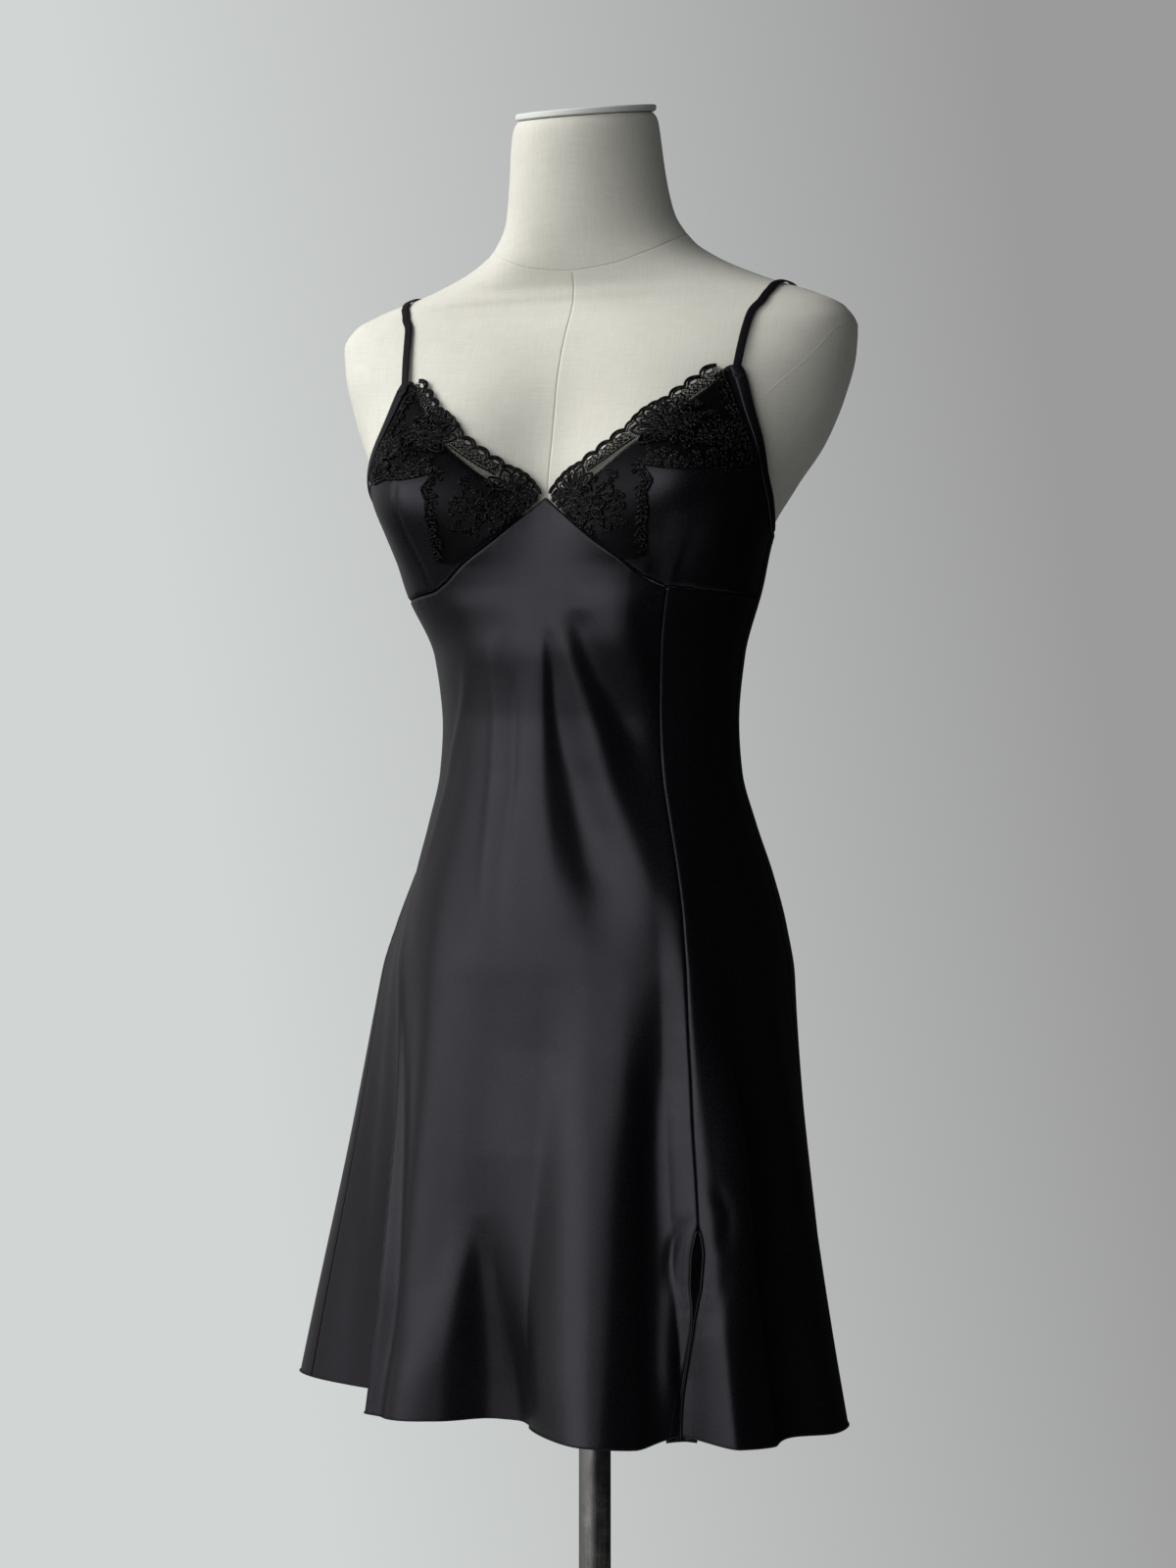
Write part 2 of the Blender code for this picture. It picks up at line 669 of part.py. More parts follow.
def make_strap(name, side, form, material):
    """A flat strap laid over the form's shoulder, a little off it at both feet."""
    tree = BVHTree.FromPolygons(
        [v.co for v in form.data.vertices], [tuple(f.vertices) for f in form.data.polygons]
    )
    inset = 0.0 if side > 0 else RIGHT_STRAP_INSET
    guide = [Vector((side * (p.x - inset), p.y, p.z)) for p in STRAP_ROUTE]
    spans = len(guide) - 1
    middles, normals = [], []
    for k in range(STRAP_SEGMENTS + 1):
        share = k / STRAP_SEGMENTS
        i = min(int(share * spans), spans - 1)
        t = share * spans - i
        before, after = guide[max(i - 1, 0)], guide[min(i + 2, spans)]
        a, b = guide[i], guide[i + 1]
        near = 0.5 * (
            2 * a
            + (b - before) * t
            + (2 * before - 5 * a + 4 * b - after) * t * t
            + (3 * (a - b) + after - before) * t**3
        )
        spot, normal, _, _ = tree.find_nearest(near)
        lift = STRAP_GAP + STRAP_FOOT_LIFT * max(bell(share / 0.08), bell((1 - share) / 0.08))
        middles.append(spot + normal * lift)
        normals.append(normal)
    for _ in range(3):
        normals = [
            (normals[max(k - 1, 0)] + normals[k] + normals[min(k + 1, STRAP_SEGMENTS)]).normalized()
            for k in range(STRAP_SEGMENTS + 1)
        ]
    points = []
    for k, (middle, normal) in enumerate(zip(middles, normals)):
        along = middles[min(k + 1, STRAP_SEGMENTS)] - middles[max(k - 1, 0)]
        across = along.cross(normal).normalized() * (STRAP_WIDTH / 2)
        top = normal * CLOTH
        points += [middle - across, middle + across, middle + across + top, middle - across + top]
    faces = [(3, 2, 1, 0)]
    for k in range(STRAP_SEGMENTS):
        for j in range(4):
            a, b = 4 * k + j, 4 * k + (j + 1) % 4
            faces.append((a, b, b + 4, a + 4))
    end = 4 * STRAP_SEGMENTS
    faces.append((end, end + 1, end + 2, end + 3))
    obj = add_faces(name, points, faces, material)
    bm = bmesh.new()
    bm.from_mesh(obj.data)
    bmesh.ops.recalc_face_normals(bm, faces=bm.faces)
    bm.to_mesh(obj.data)
    bm.free()
    return obj


def make_rings(name, rings, material):
    """A closed solid through rings of points, from below upwards, each seen anticlockwise."""
    count = len(rings[0])
    faces = [tuple(reversed(range(count)))]
    for j in range(len(rings) - 1):
        for k in range(count):
            low, low_next = j * count + k, j * count + (k + 1) % count
            faces.append((low, low_next, low_next + count, low + count))
    last = (len(rings) - 1) * count
    faces.append(tuple(range(last, last + count)))
    return add_faces(name, [point for ring in rings for point in ring], faces, material)


def make_turned(name, profile, segments, material):
    """A turned solid round the pole's axis from (radius, height) pairs, from below upwards."""
    turns = [2 * math.pi * k / segments for k in range(segments)]
    rings = [
        [Vector((radius * math.cos(t), radius * math.sin(t), height)) for t in turns]
        for radius, height in profile
    ]
    return make_rings(name, rings, material)


def make_neck_cap(material):
    """A painted disc on the neck, with softened rims, leaning as the neck's top does."""
    top = FORM_RINGS[-1].height
    rows = [(0.0005, -0.0030), (0.0012, -0.0004), (0.0052, 0.0), (CAP_THICKNESS, -0.0012)]
    rings = []
    for rise, out in rows:
        ring = []
        for k in range(FORM_SEGMENTS):
            azimuth = 360 * k / FORM_SEGMENTS
            point = round_point(azimuth, top, form_radius(azimuth, FORM_RINGS[-2].height) + out)
            ring.append(point + Vector((0, 0, rise)))
        rings.append(ring)
    return make_rings("neck_cap", rings, material)


def make_stand(material):
    """The base plate with its hub, the pole, and the collar that holds the form."""
    base_top = BASE_THICKNESS
    hub_top = base_top + 0.030
    make_turned(
        "base_plate",
        [
            (BASE_RADIUS - 0.0015, 0.0),
            (BASE_RADIUS, 0.0015),
            (BASE_RADIUS, base_top - 0.0015),
            (BASE_RADIUS - 0.0015, base_top),
            (0.032, base_top),
            (0.030, base_top + 0.004),
            (0.022, hub_top - 0.003),
            (0.020, hub_top),
        ],
        48,
        material,
    )
    collar_top = FORM_RINGS[0].height - 0.0004
    collar_bottom = collar_top - 0.035
    make_turned(
        "pole",
        [
            (POLE_RADIUS, hub_top + 0.0004),
            (POLE_RADIUS, collar_bottom - 0.0004),
        ],
        32,
        material,
    )
    make_turned(
        "form_collar",
        [
            (0.016, collar_bottom),
            (0.0175, collar_bottom + 0.0015),
            (0.0175, collar_top - 0.008),
            (0.034, collar_top - 0.005),
            (0.035, collar_top - 0.004),
            (0.035, collar_top),
        ],
        32,
        material,
    )


def clear_scene():
    for obj in list(bpy.data.objects):
        bpy.data.objects.remove(obj, do_unlink=True)


def make_form(material):
    """The torso and neck, one smooth body with a level underside and a leaning neck top."""
    azimuths = [360 * k / FORM_SEGMENTS for k in range(FORM_SEGMENTS)]
    rings = [
        [round_point(a, row.height, form_radius(a, row.height)) for a in azimuths]
        for row in FORM_RINGS
    ]
    return make_rings("form_torso", rings, material)


def main():
    clear_scene()
    satin = make_material("black_satin", (0.012, 0.012, 0.014), 0.32)
    lace = make_material("black_lace", (0.010, 0.010, 0.011), 0.7)
    linen = make_material("linen_cover", (0.72, 0.70, 0.62), 0.9)
    paint = make_material("off_white_paint", (0.70, 0.70, 0.67), 0.5)
    steel = make_material("brushed_steel", (0.56, 0.55, 0.53), 0.25, metallic=1.0)
    make_front_panel(satin)
    make_side_front_panel(satin)
    make_back_panel(satin)
    form = make_form(linen)
    for word, side in (("left", 1), ("right", -1)):
        make_cut_piece(f"cup_{word}", side, cup_outline(), [], -CLOTH, CLOTH, satin)
        make_cut_piece(f"lace_{word}", side, *lace_outline(), LACE_GAP, LACE, lace)
        make_binding(f"binding_{word}", side, satin)
        make_strap(f"strap_{word}", side, form, satin)
    make_neck_cap(paint)
    make_stand(steel)


main()
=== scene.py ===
import math

import bpy
import numpy as np
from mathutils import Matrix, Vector
from mathutils.bvhtree import BVHTree
from mathutils.geometry import delaunay_2d_cdt


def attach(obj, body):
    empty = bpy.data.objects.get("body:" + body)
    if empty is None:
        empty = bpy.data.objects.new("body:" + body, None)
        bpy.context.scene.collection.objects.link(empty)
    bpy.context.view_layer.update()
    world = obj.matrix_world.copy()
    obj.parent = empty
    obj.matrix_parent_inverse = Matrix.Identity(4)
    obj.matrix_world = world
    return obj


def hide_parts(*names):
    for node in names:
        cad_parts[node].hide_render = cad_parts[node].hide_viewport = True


# Metres, +Z up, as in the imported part: the pole is the Z axis and the form faces -Y. An azimuth goes
# round the pole in degrees, 0 at the centre front and 90 at the wearer's left.
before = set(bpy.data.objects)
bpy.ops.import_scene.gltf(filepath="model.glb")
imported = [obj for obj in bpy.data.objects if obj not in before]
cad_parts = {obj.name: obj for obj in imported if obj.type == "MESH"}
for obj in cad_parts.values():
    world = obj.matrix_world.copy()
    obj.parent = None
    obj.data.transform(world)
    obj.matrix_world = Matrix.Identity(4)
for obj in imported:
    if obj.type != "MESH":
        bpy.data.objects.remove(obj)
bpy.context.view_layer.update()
print("frame loaded,", len(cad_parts), "solids")


def table(columns, rows):  # a short table whose columns are read by name
    return dict(zip(columns.split(), np.array(rows, float).T))


formShape = {
    "rings": table("height halfWidth front back centre lean square", [
        (0.780, 0.139, 0.096, 0.110, -0.004, 0.00, 2.15),
        (0.792, 0.147, 0.102, 0.118, -0.004, 0.00, 2.15),
        (0.830, 0.151, 0.106, 0.121, -0.004, 0.00, 2.15),
        (0.870, 0.146, 0.104, 0.115, -0.004, 0.00, 2.15),
        (0.910, 0.137, 0.099, 0.104, -0.005, 0.00, 2.15),
        (0.950, 0.125, 0.092, 0.091, -0.007, 0.00, 2.15),
        (0.990, 0.115, 0.085, 0.080, -0.009, 0.00, 2.15),
        (1.030, 0.112, 0.082, 0.075, -0.010, 0.00, 2.15),
        (1.080, 0.116, 0.086, 0.082, -0.010, 0.00, 2.15),
        (1.130, 0.130, 0.091, 0.091, -0.008, 0.00, 2.15),
        (1.176, 0.142, 0.093, 0.097, -0.005, 0.00, 2.15),
        (1.210, 0.162, 0.092, 0.099, -0.002, 0.00, 2.15),
        (1.243, 0.184, 0.087, 0.101, 0.000, 0.00, 2.30),
        (1.280, 0.200, 0.082, 0.096, 0.001, 0.00, 2.50),
        (1.310, 0.208, 0.072, 0.086, 0.001, 0.00, 2.80),
        (1.332, 0.211, 0.059, 0.071, 0.000, 0.00, 2.80),
        (1.346, 0.203, 0.050, 0.058, 0.000, 0.00, 2.80),
        (1.357, 0.181, 0.046, 0.052, 0.000, 0.02, 2.80),
        (1.367, 0.152, 0.046, 0.052, 0.001, 0.05, 2.50),
        (1.378, 0.124, 0.048, 0.053, 0.000, 0.08, 2.20),
        (1.389, 0.101, 0.051, 0.055, -0.002, 0.11, 2.00),
        (1.402, 0.082, 0.053, 0.056, -0.005, 0.14, 2.00),
        (1.424, 0.0675, 0.054, 0.057, -0.011, 0.17, 2.00),
        (1.450, 0.0625, 0.054, 0.056, -0.016, 0.19, 2.00),
        (1.492, 0.0575, 0.053, 0.054, -0.020, 0.20, 2.00),
        (1.498, 0.0555, 0.052, 0.053, -0.020, 0.20, 2.00),
        (1.5015, 0.0525, 0.050, 0.051, -0.020, 0.20, 2.00),
    ]),
    "bustAzimuth": 46.0, "bustHeight": 1.207, "bustRise": 0.047,
    "bustSpread": 18.5, "bustUp": 0.046, "bustDown": 0.044, "around": 192,
}

dressShape = {
    "hip": 0.83, "hem": 0.496, "slitTop": 0.655, "sideSeam": 92.0, "seamGap": 0.0002, "clear": 0.0022,
    "fallPower": 1.08, "fallSoft": 0.032,
    "ease": table("height right left front back", [
        (0.830, 0.006, 0.006, 0.010, 0.006),
        (0.930, 0.005, 0.006, 0.012, 0.010),
        (0.980, 0.005, 0.006, 0.012, 0.012),
        (1.030, 0.006, 0.007, 0.011, 0.011),
        (1.080, 0.008, 0.007, 0.010, 0.009),
        (1.130, 0.016, 0.006, 0.008, 0.006),
        (1.180, 0.010, 0.004, 0.006, 0.005),
        (1.230, 0.004, 0.004, 0.004, 0.005),
        (1.320, 0.004, 0.004, 0.004, 0.005),
    ]),
    "hemLine": table("azimuth reach lift start", [
        (-180, 0.215, 0.006, 0.93), (-165, 0.180, 0.008, 0.88), (-148, 0.218, 0.006, 0.95),
        (-132, 0.184, 0.010, 0.88), (-116, 0.206, 0.008, 0.92), (-97, 0.272, 0.006, 0.99),
        (-86, 0.206, 0.004, 0.95), (-75, 0.152, 0.004, 0.84), (-62, 0.160, 0.002, 0.84),
        (-45, 0.172, 0.002, 0.88), (-30, 0.152, 0.004, 0.84), (-16, 0.130, 0.006, 0.81),
        (0, 0.132, 0.006, 0.82), (20, 0.190, 0.001, 0.835), (30, 0.192, 0.000, 0.845),
        (42, 0.180, 0.006, 0.865), (50, 0.221, 0.001, 0.895), (58, 0.220, 0.000, 0.880),
        (66, 0.210, 0.002, 0.84), (76, 0.221, 0.001, 0.86), (86, 0.214, 0.001, 0.84),
        (97, 0.194, 0.004, 0.84), (108, 0.181, 0.006, 0.84), (120, 0.190, 0.008, 0.90),
        (134, 0.178, 0.008, 0.86), (148, 0.210, 0.006, 0.94), (164, 0.178, 0.008, 0.88),
        (180, 0.215, 0.006, 0.93),
    ]),
    "cupSeam": table("azimuth height", [  # the seam under the cups
        (0, 1.197), (12, 1.178), (22, 1.161), (32, 1.146), (41, 1.1325), (48, 1.127),
        (64, 1.1245), (92, 1.123),
    ]),
    "slitSeam": table("height azimuth", [  # the left front seam, with the slit's middle below
        (0.490, 41.3), (0.510, 41.9), (0.553, 44.0), (0.584, 45.4), (0.614, 46.3), (0.655, 47.4),
        (0.726, 47.9), (0.848, 49.2), (0.950, 50.1), (1.024, 50.2), (1.090, 48.9), (1.128, 47.9),
    ]),
    "slit": table("height opening", [
        (0.490, 0.0030), (0.553, 0.0024), (0.582, 0.0030), (0.597, 0.0060), (0.612, 0.0108),
        (0.631, 0.0110), (0.645, 0.0062), (0.655, 0.0002),
    ]),
    "backEdge": table("azimuth height", [
        (92, 1.176), (116, 1.171), (140, 1.175), (180, 1.170), (220, 1.175), (244, 1.171),
        (268, 1.176),
    ]),
}

cupShape = {
    "flatArc": 0.0022,  # metres for each degree where a cup is laid out flat
    "strapFoot": 0.695,
    "rightShift": 3.6,
    "edge": table("across azimuth height", [
        (0.00, 9.5, 1.1830), (0.14, 16.0, 1.2015), (0.24, 24.3, 1.2165), (0.33, 32.0, 1.232),
        (0.43, 41.0, 1.249), (0.53, 50.0, 1.266), (0.62, 57.5, 1.281), (0.68, 61.5, 1.2935),
        (0.71, 63.5, 1.2945), (0.74, 64.4, 1.286), (0.80, 64.8, 1.262), (0.85, 66.3, 1.235),
        (0.89, 69.6, 1.213), (0.94, 78.0, 1.194), (1.00, 92.0, 1.176),
    ]),
}


def smoothly(rows, key, column, at):  # a column read between its rows, never overshooting
    places, values = rows[key], rows[column]
    at = np.clip(np.asarray(at, float), places[0], places[-1])
    slopes = np.diff(values) / np.diff(places)
    alike = slopes[:-1] * slopes[1:] > 0
    total = np.where(alike, slopes[:-1] + slopes[1:], 1.0)
    inner = np.where(alike, 2 * slopes[:-1] * slopes[1:] / total, 0.0)
    tangents = np.concatenate([slopes[:1], inner, slopes[-1:]])
    i = np.clip(np.searchsorted(places, at) - 1, 0, len(slopes) - 1)
    span = places[i + 1] - places[i]
    t = (at - places[i]) / span
    return (
        (2 * t**3 - 3 * t**2 + 1) * values[i] + (t**3 - 2 * t**2 + t) * span * tangents[i]
        + (3 * t**2 - 2 * t**3) * values[i + 1] + (t**3 - t**2) * span * tangents[i + 1]
    )


def bell(x):
    return np.exp(-0.5 * np.square(x))


def ramp(x):  # 0 to 1 with level ends
    x = np.clip(x, 0, 1)
    return x * x * (3 - 2 * x)


def turned(azimuth):  # the same direction from -180 to 180
    return (np.asarray(azimuth, float) + 180) % 360 - 180


def formRadius(azimuth, height):
    rings = formShape["rings"]
    sine = np.abs(np.sin(np.radians(azimuth)))
    cosine = np.cos(np.radians(azimuth))
    side = smoothly(rings, "height", "halfWidth", height)
    front = smoothly(rings, "height", "front", height)
    back = smoothly(rings, "height", "back", height)
    power = smoothly(rings, "height", "square", height)
    depth = np.where(cosine >= 0, front, back)
    radius = ((sine / side) ** power + (np.abs(cosine) / depth) ** power) ** (-1 / power)
    up = np.where(np.asarray(height) > formShape["bustHeight"], formShape["bustUp"], formShape["bustDown"])
    turn, middle, spread = turned(azimuth), formShape["bustAzimuth"], formShape["bustSpread"]
    bust = bell((turn - middle) / spread) + bell((turn + middle) / spread)
    bust = bust * bell((height - formShape["bustHeight"]) / up)
    return radius + formShape["bustRise"] * bust


def easeAt(azimuth, height):  # how far the satin stands off the form
    ways = ("right", "left", "front", "back")
    right, left, front, back = (smoothly(dressShape["ease"], "height", way, height) for way in ways)
    sine = np.sin(np.radians(azimuth))
    cosine = np.cos(np.radians(azimuth))
    side = np.where(sine >= 0, left, right)
    depth = np.where(cosine >= 0, front, back)
    return side * sine**2 + depth * cosine**2


def bodyRadius(azimuth, height):
    return formRadius(azimuth, height) + easeAt(azimuth, height)


def fall(azimuth, height):  # how far the skirt swings out below the hip
    turn = turned(azimuth)
    start = smoothly(dressShape["hemLine"], "azimuth", "start", turn)
    reach = smoothly(dressShape["hemLine"], "azimuth", "reach", turn)
    soft = dressShape["fallSoft"]
    share = np.log1p(np.exp((start - height) / soft)) / np.log1p(np.exp((start - dressShape["hem"]) / soft))
    return (reach - bodyRadius(azimuth, dressShape["hip"])) * share ** dressShape["fallPower"]


def roundPoint(azimuth, height, radius):
    centre = smoothly(formShape["rings"], "height", "centre", height)
    lean = smoothly(formShape["rings"], "height", "lean", height)
    turn = np.radians(azimuth)
    forward = radius * np.cos(turn)
    return np.stack([radius * np.sin(turn), centre - forward, height - lean * forward], -1)


def formPoint(azimuth, height):
    return roundPoint(azimuth, height, formRadius(azimuth, height))


def clothRadius(azimuth, height):
    return bodyRadius(azimuth, np.maximum(height, dressShape["hip"])) + fall(azimuth, height)


def clothPoint(azimuth, height):  # the solid's outer face, before any crease
    return roundPoint(azimuth, height, clothRadius(azimuth, height))


def unit(vectors):
    return vectors / np.linalg.norm(vectors, axis=-1, keepdims=True)


def normalOf(pointAt, azimuth, height, turn=0.3, rise=0.0012):  # straight out of a surface
    around = pointAt(azimuth + turn, height) - pointAt(azimuth - turn, height)
    upwards = pointAt(azimuth, height + rise) - pointAt(azimuth, height - rise)
    return unit(np.cross(around, upwards))


def hemHeight(azimuth):
    return dressShape["hem"] + smoothly(dressShape["hemLine"], "azimuth", "lift", turned(azimuth))


def cupSeamHeight(azimuth):
    return smoothly(dressShape["cupSeam"], "azimuth", "height", np.abs(turned(azimuth)))


def backEdgeHeight(azimuth):
    return smoothly(dressShape["backEdge"], "azimuth", "height", azimuth)


def slitSeamAzimuth(height):
    return smoothly(dressShape["slitSeam"], "height", "azimuth", height)


def slitOpening(height):
    opening = smoothly(dressShape["slit"], "height", "opening", height)
    return np.where(np.asarray(height) < dressShape["slitTop"], opening, dressShape["seamGap"])


def metresPerDegree(azimuth, height):
    return np.linalg.norm(clothPoint(azimuth + 0.5, height) - clothPoint(azimuth - 0.5, height), axis=-1)


# The satin's creases. Each is a soft trough or ridge down the cloth: where its middle lies, how wide it
# is on either side, and how far it goes in or out, in metres.
def creases(*folds):
    return [table("height azimuth toRight toLeft out", rows) for rows in folds]


